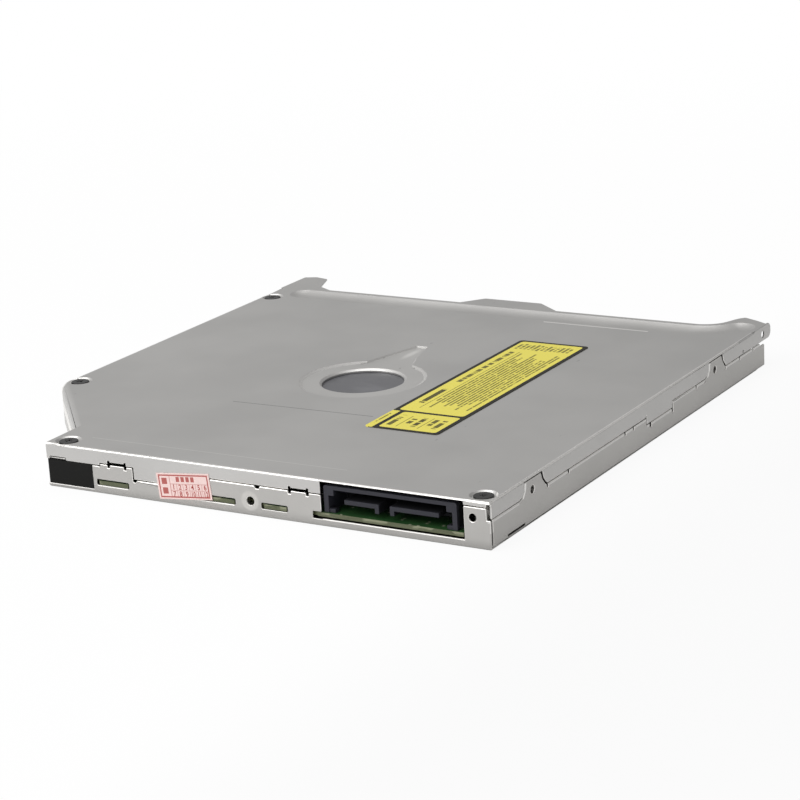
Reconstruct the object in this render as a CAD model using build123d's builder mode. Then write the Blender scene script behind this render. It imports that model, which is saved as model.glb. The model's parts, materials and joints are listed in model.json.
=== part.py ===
from build123d import *
from math import atan2, cos, pi, radians, sin
import os

os.makedirs("parts", exist_ok=True)

# The housing. X runs left to right, Y from the rear wall to the disc slot, Z up.
width = 128.0
base_depth = 127.0
ear_reach = 10.5
height = 9.5
cover_sheet = 0.4
case_sheet = 0.5
seam_height = 6.1
seam_gap = 0.2
corner_side = 9.8  # length of the short left wall behind the cut corner
cut_end = 36.7  # distance from the rear face where the cut corner meets the left wall
cut_rounding = 3.5
soft_bend = 1.8
crisp_bend = 0.5
case_bend = 0.6
half = width / 2
rear = -(base_depth + ear_reach) / 2
corner_left = -half + 24.55  # X where the rear wall ends and the cut corner begins

# The hub opening of the cover, over the turntable.
hub_x = -1.0
hub_from_rear = 62.1
hub_y = rear + hub_from_rear
hub_hole = 9.0
hub_ring = 14.0
press_depth = 0.35
collar_drop = 0.85
film_sheet = 0.1

# The stiffening channel across the front of the cover.
channel_from_rear = base_depth - 5.0
channel_half = 3.6
channel_depth = 0.9
channel_left = -half + 9.6
channel_right = half - 16.0
channel_turn = 14.0
channel_turn_angle = 53.0

# Cover screws, as X and distance from the rear face.
cover_screw_spots = [
    (-half + 3.5, base_depth - 10.1),
    (-half + 3.4, cut_end + 2.6),
    (corner_left + 3.75, 3.0),
    (half - 3.3, 3.8),
]
dimple_radius = 2.75
dimple_floor = 2.25
dimple_depth = 0.5
screw_head = 2.0
screw_head_height = 0.4
screw_shank = 0.7
screw_play = 0.05
post_radius = 1.8
screw_tab_half = 2.2

# Side fixing holes: two in the case's tabs, one in the cover's ear.
side_hole = 0.8
side_hole_height = 6.7
side_hole_first = 17.0
side_hole_spacing = base_depth - 41.2
tab_half = 3.6
slot_width = 0.6
ear_hole_from_rear = base_depth + 2.7
ear_hole_height = 7.66
lip_reach = 3.5
case_front = base_depth + lip_reach
lip_rise = 0.3

# The rear wall: connector window, corner block and board slots.
window_right = half - 5.7
window_left = window_right - 31.4
window_floor = 1.6
block_right = corner_left + 11.55
block_floor = 0.9
drop_left = -17.5
drop_right = 0.6
drop_height = 4.1
raised_seam = 6.6
relief_half = 0.28  # half the width of the small notches that end a tab or a bend
relief_floor = 5.75
drop_relief = 0.45
corner_slit = 0.45
tab_down_near = 67.8  # the cover's tab that hangs down over the right wall
tab_down_far = 80.4
tab_down_low = 4.6
board_slots = [(-27.0, -19.0), (-5.0, 6.9), (13.0, 19.1)]
slot_floor = 1.85
slot_top = 3.05
hook_slots = [-21.65, 21.85]
hook_length = 4.1
seam_notches = [(corner_left + 13.1, 0.5), (12.3, 0.6)]
rear_fixing_x = 10.5
rear_fixing_height = 3.1
rear_fixing_radius = 0.88

# The main board and the connector.
board_bottom = 1.95
board_sheet = 0.85
board_top = board_bottom + board_sheet
board_front = 13.2
board_bay_front = 25.0
board_bay_right = 16.0
plug_left = window_left + 0.4
plug_right = plug_left + 29.3
plug_top = 8.3
plug_depth = 8.0
plug_front = 0.6
plug_wall = 2.25
plug_thin_wall = 1.05
plug_step = 6.3
plug_foot = 3.6
plug_roof = 0.8
tongue_sheet = 0.9
tongue_top = 5.65
tongue_foot = 3.75
signal_left = plug_left + 4.35
signal_right = signal_left + 7.65
power_left = signal_right + 2.45
power_right = power_left + 10.7
contact_pitch = 1.0
contact_width = 0.5
contact_sheet = 0.15
contact_back = 1.2  # how far behind the tongue's front edge the contacts start

# Labels on the cover and on the rear wall.
label_right = half - 29.5
label_left = label_right - 17.3
label_start = 32.5
label_end = 101.1
label_sheet = 0.1
sticker_width = 12.9
sticker_height = 5.4
sticker_x = -5.17
sticker_z = 4.2
sticker_turn = 5.6

# The traverse unit swings about a far pin line, and rests tilted down by the lift angle.
feed_turn = 135.0
pivot_level = 3.6
lift_angle = 1.16
frame_bottom = 2.5
frame_top = 4.7
frame_near = -20.0
pickup_half = 17.2
window_near = 14.6
window_side = pickup_half + 0.8
screw_side = -pickup_half - 2.8
window_screw_side = screw_side - 2.6
frame_left = window_side + 4.0
frame_right = window_screw_side - 1.4
trunnion_radius = 0.8
trunnion_side = 9.0
trunnion_length = 2.8
fit_play = 0.06

# Sled rods, pickup and feed screw, in the traverse's own axes.
rod_radius = 1.0
rod_side = pickup_half - 2.2
rod_level = 3.6
rod_end_near = 13.2
lens_start = 24.0
lens_travel = 34.0
pickup_near = 9.0
pickup_far = 5.0
sled_room = 0.6
window_far = lens_start + lens_travel + pickup_far + sled_room
rod_end_far = window_far + 2.4
frame_far = window_far + 3.4
pivot_reach = window_far + 5.8
pickup_bottom = 2.5
pickup_top = 4.85
shield_sheet = 0.15
lens_radius = 2.2
lens_height = 0.4
holder_sheet = 0.9
pocket_floor = 0.7
focus_play = 0.35
screw_radius = 1.2
feed_motor_near = 1.5
feed_motor_far = 13.5
feed_motor_half = 2.6

# Spindle motor and turntable.
spindle_hole = 11.3
rotor_radius = 10.8
rotor_wall = 0.6
table_radius = 13.9
table_sheet = 0.3
seat_level = 5.6
ring_inner = 10.4
centre_radius = 7.35
centre_height = 1.6
claw_count = 3

# The cam slider lifts the traverse, driven by the loading motor's gears.
slide_travel = 12.0
slider_near = -22.8
slider_far = -32.4
slider_right = -36.0
slider_left = 14.0
slider_floor = 0.7
slider_sheet = 1.0
cam_wall = 1.5
cam_top = 4.9
cam_pin_radius = 0.5
cam_pin_play = 0.25
cam_pin_spots = [-16.0, -1.0]
cam_pin_level = 3.5
module = 0.5
rack_teeth = 30
rack_top = 2.2
drive_pinion_teeth = 16
drive_gear_teeth = 44
worm_pinion_teeth = 12
worm_wheel_teeth = 30
gear_sheet = 1.0
gear_gap = 0.1
worm_radius = 1.5
worm_core = 0.95
worm_length = 9.0
gear_bore = 0.9
stud_radius = 0.8
stud_head = 1.4
motor_radius = 3.0
motor_length = 16.0

# Disc levers at the rear left and on the right side.
lever_bottom = 4.1
lever_sheet = 0.7
rear_lever_pivot = (-14.0, 11.0)
rear_lever_tip = (-44.5, 18.6)
side_lever_pivot = (half - 6.5, 84.0)
side_lever_tip = (half - 3.0, 117.8)
guide_post_radius = 1.1
guide_post_top = 8.1

# Plastic guides beside the disc's way.
guide_start = case_front - 5.5
guide_top = 3.9
guide_inset = 6.0
side_guide_width = 1.6


def place(x, from_rear):
    """A point in the XY plane from its X and its distance to the rear face."""
    return (x, rear + from_rear)


def block(plane, x0, x1, y0, y1, z0, z1, mode=Mode.ADD):
    """A box between two corners, in the axes of a plane."""
    with BuildSketch(plane.offset(z0)) as outline:
        with Locations(((x0 + x1) / 2, (y0 + y1) / 2)):
            Rectangle(x1 - x0, y1 - y0)
    extrude(outline.sketch, amount=z1 - z0, mode=mode)


def post(plane, x, y, radius, z0, z1, mode=Mode.ADD):
    """A round post, or a round hole, standing on a plane."""
    with BuildSketch(plane.offset(z0)) as outline:
        with Locations((x, y)):
            Circle(radius)
    extrude(outline.sketch, amount=z1 - z0, mode=mode)


def prism(plane, points, z0, z1, mode=Mode.ADD, rounding=0.0):
    """A straight-sided prism from an outline, with all its corners rounded alike."""
    with BuildSketch(plane.offset(z0)) as outline:
        with BuildLine():
            Polyline(*points, close=True)
        make_face()
        if rounding:
            fillet(outline.vertices(), rounding)
    extrude(outline.sketch, amount=z1 - z0, mode=mode)


def housing_points(front):
    """Corners of the housing's plan, from the rear left, open to any front line."""
    return [
        place(corner_left, 0),
        place(half, 0),
        place(half, front),
        place(-half, front),
        place(-half, cut_end),
        place(corner_left, corner_side),
    ]


def housing_plan(front, inset):
    """The housing's plan, drawn in by one sheet thickness or more."""
    with BuildLine() as edge_line:
        Polyline(*housing_points(front), close=True)
    make_face(edge_line.edges())
    if inset:
        offset(amount=-inset, kind=Kind.INTERSECTION)


def round_cut_corner(solid, inset):
    """Rounds the upright edge where the cut corner meets the left wall."""
    edge = solid.edges().filter_by(Axis.Z).filter_by(lambda e: e.center().X < -half + 3)
    fillet(edge.sort_by(Axis.Y)[0:1], cut_rounding - inset)


def bend_edges(solid, top, soft, crisp):
    """Rounds the long edges where the walls leave the sheet's flat."""
    face = solid.faces().sort_by(Axis.Z)[-1 if top else 0]
    walls = face.edges().filter_by(lambda e: e.center().Y < rear + base_depth - 5)
    fillet(walls.filter_by(lambda e: e.center().X < corner_left - 5), soft)
    face = solid.faces().sort_by(Axis.Z)[-1 if top else 0]
    walls = face.edges().filter_by(lambda e: e.center().Y < rear + base_depth - 5)
    plain = walls.filter_by(lambda e: e.center().X > corner_left + 5)
    fillet(plain.filter_by(GeomType.LINE), crisp)


rear_plane = Plane.XZ.offset(-rear)  # local X is X, local Y is Z, its normal points out
side_plane = Plane.YZ.offset(half)  # local X is Y, local Y is Z, its normal points out
inner_top = height - cover_sheet
flush = 0.02  # how far joined sheets run into each other


def rear_cut(x0, x1, z0, z1, depth=2.0):
    """Opens the rear wall between two X and two heights."""
    block(rear_plane, x0, x1, z0, z1, -depth, 0.5, Mode.SUBTRACT)


def side_cut(d0, d1, z0, z1, depth=2.0):
    """Opens the right wall between two distances from the rear and two heights."""
    block(side_plane, rear + d0, rear + d1, z0, z1, -depth, 0.5, Mode.SUBTRACT)


# Room inside the cover, with bends that leave one sheet thickness all round.
with BuildPart() as cover_room:
    with BuildSketch(Plane.XY.offset(-1)):
        housing_plan(base_depth + 20, cover_sheet)
    extrude(amount=inner_top + 1)
    round_cut_corner(cover_room, cover_sheet)
    bend_edges(cover_room, True, soft_bend - cover_sheet, crisp_bend - cover_sheet)


def channel(grow, mode):
    """The channel's body: a shallow round trough, straight, bent at the right, with round ends."""
    radius = (channel_half**2 + channel_depth**2) / (2 * channel_depth) + grow
    centre = height - channel_depth + radius - grow
    top = height + 0.2 if grow == 0 else inner_top + 0.1
    low = centre - radius
    line = rear + channel_from_rear
    with BuildSketch(Plane.YZ.offset(channel_left)) as straight:
        with Locations((line, centre)):
            Circle(radius)
        with Locations((line, low)):
            Rectangle(4 * channel_half, 2 * (top - low), mode=Mode.INTERSECT)
    extrude(straight.sketch, amount=channel_right - channel_left, mode=mode)
    turn = Axis((channel_right, line + channel_turn, 0), (0, 0, 1))
    with BuildSketch(Plane.YZ.offset(channel_right)) as bent:
        with Locations((line, centre)):
            Circle(radius)
        with Locations((line, low)):
            Rectangle(4 * channel_half, 2 * (top - low), mode=Mode.INTERSECT)
    revolve(bent.sketch, axis=turn, revolution_arc=channel_turn_angle, mode=mode)
    bend = radians(channel_turn_angle)
    end = (
        channel_right + channel_turn * sin(bend),
        line + channel_turn - channel_turn * cos(bend),
    )
    for spot in [(channel_left, line), end]:
        with BuildSketch(Plane.XZ.offset(-spot[1])) as round_end:
            with Locations((spot[0], centre)):
                Circle(radius)
            with Locations((spot[0], low)):
                Rectangle(4 * channel_half, 2 * (top - low), mode=Mode.INTERSECT)
            with Locations((spot[0] - 5 * channel_half, centre)):
                Rectangle(10 * channel_half, 4 * radius, mode=Mode.SUBTRACT)
        revolve(round_end.sketch, axis=Axis((spot[0], spot[1], 0), (0, 0, 1)), mode=mode)


arm_points = [
    place(hub_x - 6.6, hub_from_rear + 11.5),
    place(hub_x + 5.6, hub_from_rear + 11.5),
    place(hub_x + 2.6, hub_from_rear + 19.0),
    place(hub_x + 0.6, hub_from_rear + 27.2),
    place(hub_x - 2.2, hub_from_rear + 27.2),
    place(hub_x - 4.4, hub_from_rear + 20.2),
]
hook_line = (raised_seam - 0.05, raised_seam + 0.4)

# Top cover: one pressed sheet with flanges, ears, channel, hub ring and screw dimples.
with BuildPart() as top_cover:
    with BuildSketch(Plane.XY.offset(seam_height)):
        housing_plan(base_depth, 0)
    extrude(amount=height - seam_height)
    round_cut_corner(top_cover, 0)
    bend_edges(top_cover, True, soft_bend, crisp_bend)
    add(cover_room.part, mode=Mode.SUBTRACT)
    # The left ear, the centre tab and the right ear reach past the front line.
    prism(
        Plane.XY,
        [
            place(-half + 1.9, base_depth - 2),
            place(-half + 0.6, base_depth - 2),
            place(-half + 0.6, base_depth + 9.4),
            place(-half + 3.6, base_depth + ear_reach),
            place(-half + 7.2, base_depth + 9.6),
            place(-half + 9.8, base_depth + 2.4),
            place(-half + 14.0, base_depth),
            place(-half + 14.0, base_depth - 2),
        ],
        inner_top,
        height,
        rounding=0.5,
    )
    prism(
        Plane.XY,
        [
            place(-13.0, base_depth - 2),
            place(-13.0, base_depth),
            place(-8.8, base_depth + 5.1),
            place(6.4, base_depth + 5.1),
            place(13.0, base_depth),
            place(13.0, base_depth - 2),
        ],
        inner_top,
        height,
        rounding=0.9,
    )
    with BuildSketch(Plane.XY.offset(inner_top)):
        with BuildLine():
            lobe = Spline(
                place(half - 15.0, base_depth - 0.1),
                place(half - 9.8, base_depth + 3.0),
                place(half - 6.6, base_depth + 8.6),
                tangents=[(1, 0.15), (1, 0.6)],
            )
            Polyline(
                lobe @ 1,
                place(half - 3.2, base_depth + 7.0),
                place(half - 0.2, base_depth + 5.2),
                place(half - 0.2, base_depth - 2),
                place(half - 15.0, base_depth - 2),
                lobe @ 0,
            )
        make_face()
    extrude(amount=cover_sheet)
    with BuildSketch(side_plane) as ear_flange:
        with BuildLine():
            Polyline(
                (rear + base_depth - 2, seam_height),
                (rear + base_depth + 7.2, seam_height),
                (rear + base_depth + 7.2, height),
                (rear + base_depth - 2, height),
                close=True,
            )
        make_face()
        fillet(ear_flange.vertices().sort_by(Axis.X)[-2:], 1.5)
    extrude(amount=-cover_sheet)
    # The pressed channel keeps its sheet thickness: first the outside below, then the trough.
    channel(cover_sheet, Mode.ADD)
    channel(0, Mode.SUBTRACT)
    # The sunk hub ring with its rolled inner edge, and the arm that runs out of it.
    post(Plane.XY, hub_x, hub_y, hub_ring, inner_top - 1, height + 1, Mode.SUBTRACT)
    ring_top = height - press_depth
    with BuildSketch(Plane.XZ.offset(-hub_y)):
        with BuildLine():
            Polyline(
                (hub_x + hub_ring + 0.3, height),
                (hub_x + hub_ring, height),
                (hub_x + hub_ring - 0.8, ring_top),
                (hub_x + hub_hole + 0.5, ring_top),
                (hub_x + hub_hole, ring_top - 0.4),
                (hub_x + hub_hole, ring_top - collar_drop),
                (hub_x + hub_hole + cover_sheet, ring_top - collar_drop),
                (hub_x + hub_hole + cover_sheet, ring_top - 0.6),
                (hub_x + hub_hole + 0.7, ring_top - cover_sheet),
                (hub_x + hub_ring - 0.6, ring_top - cover_sheet),
                (hub_x + hub_ring + 0.3, inner_top),
                close=True,
            )
        make_face()
    revolve(axis=Axis((hub_x, hub_y, 0), (0, 0, 1)))
    with BuildSketch(Plane.XY.offset(inner_top + 0.1)):
        with BuildLine():
            Polyline(*arm_points, close=True)
        make_face()
        offset(amount=cover_sheet, kind=Kind.INTERSECTION)
        with Locations((hub_x, hub_y)):
            Circle(hub_ring - 0.7, mode=Mode.SUBTRACT)
    extrude(amount=-press_depth - 0.1)
    with BuildSketch(Plane.XY.offset(height)):
        with BuildLine():
            Polyline(*arm_points, close=True)
        make_face()
    extrude(amount=press_depth, dir=(0, 0, -1), taper=40, mode=Mode.SUBTRACT)
    # Screw dimples: the sheet dips below each head.
    for spot in cover_screw_spots:
        x, y = place(*spot)
        floor = height - dimple_depth
        with BuildSketch(Plane.XZ.offset(-y)):
            with BuildLine():
                Polyline(
                    (x, inner_top + 0.1),
                    (x + dimple_radius + 0.3, inner_top + 0.1),
                    (x + dimple_floor + 0.3, floor - cover_sheet),
                    (x, floor - cover_sheet),
                    close=True,
                )
            make_face()
        revolve(axis=Axis((x, y, 0), (0, 0, 1)))
        with BuildSketch(Plane.XZ.offset(-y)):
            with BuildLine():
                Polyline(
                    (x, height + 0.2),
                    (x + dimple_radius, height + 0.2),
                    (x + dimple_radius, height),
                    (x + dimple_floor, floor),
                    (x, floor),
                    close=True,
                )
            make_face()
        revolve(axis=Axis((x, y, 0), (0, 0, 1)), mode=Mode.SUBTRACT)
        post(Plane.XY, x, y, screw_shank + screw_play, floor - 1, height, Mode.SUBTRACT)
    # Rear flange: raised over the case's tabs, dropped to the left of the sticker.
    block(rear_plane, drop_left, drop_right, drop_height, seam_height + 0.1, -cover_sheet, 0)
    rear_cut(block_right + 1.9, drop_left, 0, raised_seam)
    rear_cut(drop_right, window_left + 0.5, seam_height - 0.5, raised_seam)
    rear_cut(window_left, window_right, seam_height - 0.5, inner_top)
    rear_cut(window_right - 0.1, half + 1, seam_height - 0.5, 8.44, 0.55)
    rear_cut(half - 0.8, half - cover_sheet, seam_height - 0.5, inner_top - 0.1, 0.55)
    rear_cut(corner_left + 0.75, corner_left + 4.95, seam_height - 0.1, raised_seam + 0.1)
    for x in hook_slots:
        rear_cut(x - hook_length / 2, x + hook_length / 2, hook_line[0], hook_line[1])
        for end in (x - hook_length / 2, x + hook_length / 2):
            rear_cut(end - relief_half, end + relief_half, hook_line[0], hook_line[1] + 0.3)
    # Right flange: cut-outs round the case's two tabs, and one tab down over the case.
    for first in (side_hole_first, side_hole_first + side_hole_spacing):
        near = first - tab_half
        far = first + tab_half
        with BuildSketch(side_plane.offset(-2)):
            with BuildLine():
                Polyline(
                    (rear + near - 2.0, seam_height - 0.2),
                    (rear + near - 2.0, seam_height),
                    (rear + near - 0.5, seam_height + 0.35),
                    (rear + near + 0.2, seam_height + 1.2),
                    (rear + near + 0.3, inner_top),
                    (rear + far + slot_width, inner_top),
                    (rear + far + slot_width + 0.5, seam_height + 1.4),
                    (rear + far + slot_width + 1.4, seam_height + 0.4),
                    (rear + far + slot_width + 2.2, seam_height - 0.2),
                    close=True,
                )
            make_face()
        extrude(amount=2.5, mode=Mode.SUBTRACT)
    block(
        side_plane, rear + tab_down_near, rear + tab_down_far, tab_down_low, seam_height + 0.1,
        -cover_sheet, 0,
    )
    side_cut(tab_down_near - 0.3, tab_down_near, seam_height - 0.2, seam_height + 0.4)
    post(side_plane, rear + 118.4, 6.7, 0.3, -cover_sheet - 0.1, 1, Mode.SUBTRACT)
    block(Plane.XY, half - 0.5, half + 1, rear - 1, rear + 0.5, 5, inner_top - 0.1, Mode.SUBTRACT)
    post(side_plane, rear + ear_hole_from_rear, ear_hole_height, side_hole, -2, 1, Mode.SUBTRACT)
top_cover.part.label = "top_cover"

# Dark film under the hub opening, glued to the end of the rolled edge.
collar_end = height - press_depth - collar_drop
with BuildPart() as hub_film:
    post(Plane.XY, hub_x, hub_y, hub_hole + cover_sheet + 0.6, collar_end - film_sheet, collar_end)
hub_film.part.label = "hub_film"

# Black countersunk cover screws, with their shanks in the case's posts.
dimple_level = height - dimple_depth
with BuildPart() as cover_screws:
    for spot in cover_screw_spots:
        x, y = place(*spot)
        shank = 3.2 if spot != cover_screw_spots[0] else cover_sheet + case_sheet
        post(Plane.XY, x, y, screw_head, dimple_level, dimple_level + screw_head_height)
        post(Plane.XY, x, y, screw_shank, dimple_level - shank, dimple_level)
cover_screws.part.label = "cover_screws"

# Room inside the case.
with BuildPart() as case_room:
    with BuildSketch(Plane.XY.offset(case_sheet)):
        housing_plan(base_depth + 20, case_sheet)
    extrude(amount=height)
    round_cut_corner(case_room, case_sheet)
    bend_edges(case_room, False, case_bend - case_sheet, case_bend - case_sheet)

wall_top = seam_height - seam_gap
post_top = height - dimple_depth - cover_sheet
tongue_inner = case_sheet - flush

# Bottom case: one pressed tray, with tongues behind the cover's flanges and two flush tabs.
with BuildPart() as bottom_case:
    with BuildSketch():
        housing_plan(case_front, 0)
    extrude(amount=wall_top)
    round_cut_corner(bottom_case, 0)
    bend_edges(bottom_case, False, case_bend, case_bend)
    add(case_room.part, mode=Mode.SUBTRACT)
    # The front lip is raised a little, and the side walls end lower there.
    block(
        Plane.XY,
        -half - 1,
        half + 1,
        rear + base_depth - 0.9,
        rear + case_front + 1,
        -1,
        lip_rise,
        Mode.SUBTRACT,
    )
    block(
        Plane.XY,
        -half + case_sheet,
        half - case_sheet,
        rear + base_depth - 1.4,
        rear + case_front,
        lip_rise,
        lip_rise + case_sheet,
    )
    side_cut(base_depth + 1, case_front + 1, 5.2, seam_height)
    block(
        Plane.XY,
        -half - 1,
        -half + 1,
        rear + base_depth + 1,
        rear + case_front + 1,
        5.2,
        7,
        Mode.SUBTRACT,
    )
    # Rear wall: tab behind the left hook, drop under the cover's tab, window and block recess.
    block(rear_plane, block_right + 2.0, drop_left - 0.3, 5, raised_seam - seam_gap, -case_sheet, 0)
    block(rear_plane, drop_right + 0.1, window_left, 5, raised_seam - seam_gap, -case_sheet, 0)
    block(rear_plane, window_right, half - 0.8, 5, 8.44 - seam_gap, -case_sheet, 0)
    rear_cut(drop_left - 0.3, drop_right + 0.1, drop_height - seam_gap, 7)
    post(rear_plane, drop_left + 0.1, drop_height - seam_gap, drop_relief, -1, 1, Mode.SUBTRACT)
    for x in hook_slots:
        for end in (x - hook_length / 2, x + hook_length / 2):
            rear_cut(end - relief_half, end + relief_half, relief_floor, 7)
    rear_cut(window_left, window_right, window_floor, 9)
    rear_cut(window_left - 2.0, window_left + 0.1, window_floor - 0.1, board_top + 0.1)
    rear_cut(corner_left - 0.5, block_right, block_floor, 7, 1.1)
    block(
        Plane.XY,
        corner_left - 1,
        corner_left + 0.7,
        rear - 0.5,
        rear + 3,
        block_floor,
        9,
        Mode.SUBTRACT,
    )
    for x0, x1 in board_slots:
        with BuildSketch(rear_plane.offset(-0.6)):
            with Locations(((x0 + x1) / 2, (slot_floor + slot_top) / 2)):
                RectangleRounded(x1 - x0, slot_top - slot_floor, 0.3)
        extrude(amount=1.1, mode=Mode.SUBTRACT)
    for x, side in seam_notches:
        with BuildSketch(rear_plane.offset(-1)):
            with BuildLine():
                Polyline(
                    (x - 1.7 * side, 6.9),
                    (x - 0.6 * side, relief_floor + 0.1),
                    (x + 0.6 * side, relief_floor + 0.1),
                    (x + 1.1 * side, 6.9),
                    close=True,
                )
            make_face()
        extrude(amount=1.5, mode=Mode.SUBTRACT)
    # Tongues step in by one sheet behind the cover's rear and right flanges.
    for x0, x1 in [(-13.5, -3.5), (3.5, 10.9), (13.2, 18.6)]:
        low = 3.0 if x0 < 0 else 5.2
        block(rear_plane, x0, x1, low, 8.4, -case_sheet - 0.45, -tongue_inner)
    for d0, d1 in [
        (24.1, 31.2),
        (33.0, 56.8),
        (82.0, base_depth - 34.9),
        (base_depth - 17.5, base_depth - 11.3),
        (base_depth - 9.5, base_depth - 3.7),
    ]:
        block(side_plane, rear + d0, rear + d1, 5.2, 8.4, -case_sheet - 0.45, -tongue_inner)
    side_cut(tab_down_near - 0.2, tab_down_far + 0.2, tab_down_low - seam_gap, 7)
    side_cut(69.2, 70.1, tab_down_low - 1.1, tab_down_low)
    side_cut(tab_down_far - 0.2, tab_down_far + 0.4, tab_down_low - 1.1, seam_height - 0.5)
    block(side_plane, rear + 70.6, rear + 79.2, 3.8, 8.0, -case_sheet - 0.45, -tongue_inner)
    # Notches end each tongue of the right wall, and a thin slit lies near the rear corner.
    far_notches = [base_depth - back for back in (34.1, 29.4, 18.4, 10.4, 2.9)]
    for d in [23.2, 32.1, 57.6, 61.5] + far_notches:
        side_cut(d - relief_half, d + relief_half, relief_floor - 0.6, seam_height + 0.1)
    side_cut(6.6, 13.6, 0.65, 1.05)
    # The rear wall laps the right wall's end, with a narrow slit between them.
    side_cut(case_sheet, case_sheet + corner_slit, 0.9, 9, case_sheet + 0.05)
    # The two flush tabs with their drawn fixing holes.
    for first in (side_hole_first, side_hole_first + side_hole_spacing):
        near = first - tab_half
        far = first + tab_half
        with BuildSketch(side_plane) as tab:
            with BuildLine():
                Polyline(
                    (rear + near - 2.0, wall_top - 0.6),
                    (rear + near - 2.0, wall_top),
                    (rear + near - 0.4, wall_top + 0.3),
                    (rear + near + 0.45, seam_height + 1.1),
                    (rear + near + 0.55, inner_top - seam_gap),
                    (rear + far, inner_top - seam_gap),
                    (rear + far + 0.5, seam_height + 1.4),
                    (rear + far + 1.5, seam_height + 0.3),
                    (rear + far + 2.2, wall_top),
                    (rear + far + 2.2, wall_top - 0.6),
                    close=True,
                )
            make_face()
        extrude(amount=-case_sheet)
        y = rear + first
        post(side_plane, y, side_hole_height, side_hole + 0.7, -case_sheet - 0.8, -case_sheet + flush)
        post(side_plane, y, side_hole_height, side_hole, -3, 1, Mode.SUBTRACT)
    # The rear fixing hole, with a shallow ring pressed round it.
    post(rear_plane, rear_fixing_x, rear_fixing_height, 1.8, -case_sheet - 0.9, -tongue_inner)
    post(rear_plane, rear_fixing_x, rear_fixing_height, rear_fixing_radius, -3, 1, Mode.SUBTRACT)
    post(rear_plane, 60.2, seam_height, side_hole, -1, 1, Mode.SUBTRACT)
    # Screw posts under the cover's dimples; the front left screw has a bent tab over the disc's way.
    x, y = place(*cover_screw_spots[0])
    tab_wall = -half + case_sheet - flush
    prism(
        Plane.XZ,
        [
            (tab_wall, seam_height - 0.9),
            (tab_wall + case_sheet, seam_height - 0.9),
            (tab_wall + case_sheet, post_top - case_sheet - 0.2),
            (tab_wall + case_sheet + 0.2, post_top - case_sheet),
            (x + screw_tab_half, post_top - case_sheet),
            (x + screw_tab_half, post_top),
            (tab_wall + 0.7, post_top),
            (tab_wall, post_top - 1.0),
        ],
        -y - screw_tab_half,
        -y + screw_tab_half,
    )
    for spot in cover_screw_spots[1:]:
        x, y = place(*spot)
        post(Plane.XY, x, y, post_radius, case_sheet - flush, post_top)
    for spot in cover_screw_spots:
        x, y = place(*spot)
        post(Plane.XY, x, y, screw_shank + 0.02, post_top - 4, post_top + 1, Mode.SUBTRACT)
    # A small strip from the rear left post shows under the cover's edge, over the plastic block.
    block(
        Plane.XY, corner_left + 1.0, corner_left + 4.8, rear + 0.1, rear + 2.0,
        raised_seam - 0.35, raised_seam - 0.1,
    )
    # Shallow stiffening beads pressed up into the floor.
    for x0, x1, d in [(-34.0, 10.0, 28.5), (10.0, 52.0, 118.0)]:
        with BuildSketch(Plane.XY):
            with Locations(place((x0 + x1) / 2, d)):
                SlotOverall(x1 - x0, 2.4)
        extrude(amount=0.2, mode=Mode.SUBTRACT)
bottom_case.part.label = "bottom_case"

# Black plastic block that closes the rear left corner.
with BuildPart() as corner_block:
    block(
        Plane.XY,
        corner_left,
        block_right - 0.05,
        rear + 0.02,
        rear + 1.05,
        block_floor + 0.03,
        seam_height - 0.1,
    )
    fillet(corner_block.edges().filter_by(Axis.Z).group_by(Axis.X)[0].sort_by(Axis.Y)[0:1], 0.6)
corner_block.part.label = "corner_block"

# Printed label on the cover and small sticker on the rear wall.
with BuildPart() as top_label:
    with BuildSketch(Plane.XY.offset(height)):
        with Locations(place((label_left + label_right) / 2, (label_start + label_end) / 2)):
            RectangleRounded(label_right - label_left, label_end - label_start, 1.0)
    extrude(amount=label_sheet)
top_label.part.label = "top_label"

with BuildPart() as date_sticker:
    with BuildSketch(rear_plane):
        with Locations(Location((sticker_x, sticker_z, 0), (0, 0, sticker_turn))):
            RectangleRounded(sticker_width, sticker_height, 0.2)
    extrude(amount=label_sheet)
date_sticker.part.label = "date_sticker"

# Main board along the rear, with edge tongues in the rear wall's slots.
board_left = corner_left + 0.9
board_right = half - 1.2
board_rear = case_sheet + 0.2
board_screw_spots = [(corner_left + 5.95, 12.0), (22.0, 10.5)]
board_gaps = cover_screw_spots[2:]
with BuildPart() as main_board:
    block(
        Plane.XY, board_left, board_right, rear + board_rear, rear + board_front,
        board_bottom, board_top,
    )
    block(
        Plane.XY, corner_left + 2.45, board_bay_right, rear + board_front - 1,
        rear + board_bay_front, board_bottom, board_top,
    )
    for x0, x1 in board_slots:
        block(
            Plane.XY, x0 + 0.6, x1 - 0.3, rear + 0.15, rear + board_rear + 0.1,
            board_bottom, board_top,
        )
    block(
        Plane.XY, window_left - 1.0, window_right - 0.3, rear + 0.3, rear + board_rear + 0.1,
        board_bottom, board_top,
    )
    for spot in board_gaps:
        x, y = place(*spot)
        post(Plane.XY, x, y, post_radius + 0.6, 0, height, Mode.SUBTRACT)
    x, y = place(board_left, board_rear)
    block(Plane.XY, x - 1, x + 12, y - 1, y + 0.7, 0, height, Mode.SUBTRACT)
    fixing_y = rear + board_rear
    block(
        Plane.XY, rear_fixing_x - 2.1, rear_fixing_x + 2.1, fixing_y - 1, fixing_y + 1.3,
        0, height, Mode.SUBTRACT,
    )
    for x, d in board_screw_spots + [rear_lever_pivot]:
        post(Plane.XY, x, rear + d, 1.1, 0, height, Mode.SUBTRACT)
main_board.part.label = "main_board"

# Board standoffs and their screws.
with BuildPart() as board_standoffs:
    for x, d in board_screw_spots:
        post(Plane.XY, x, rear + d, 2.0, case_sheet, board_bottom)
        post(Plane.XY, x, rear + d, 0.8, case_sheet + 0.3, board_bottom, Mode.SUBTRACT)
board_standoffs.part.label = "board_standoffs"

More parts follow.
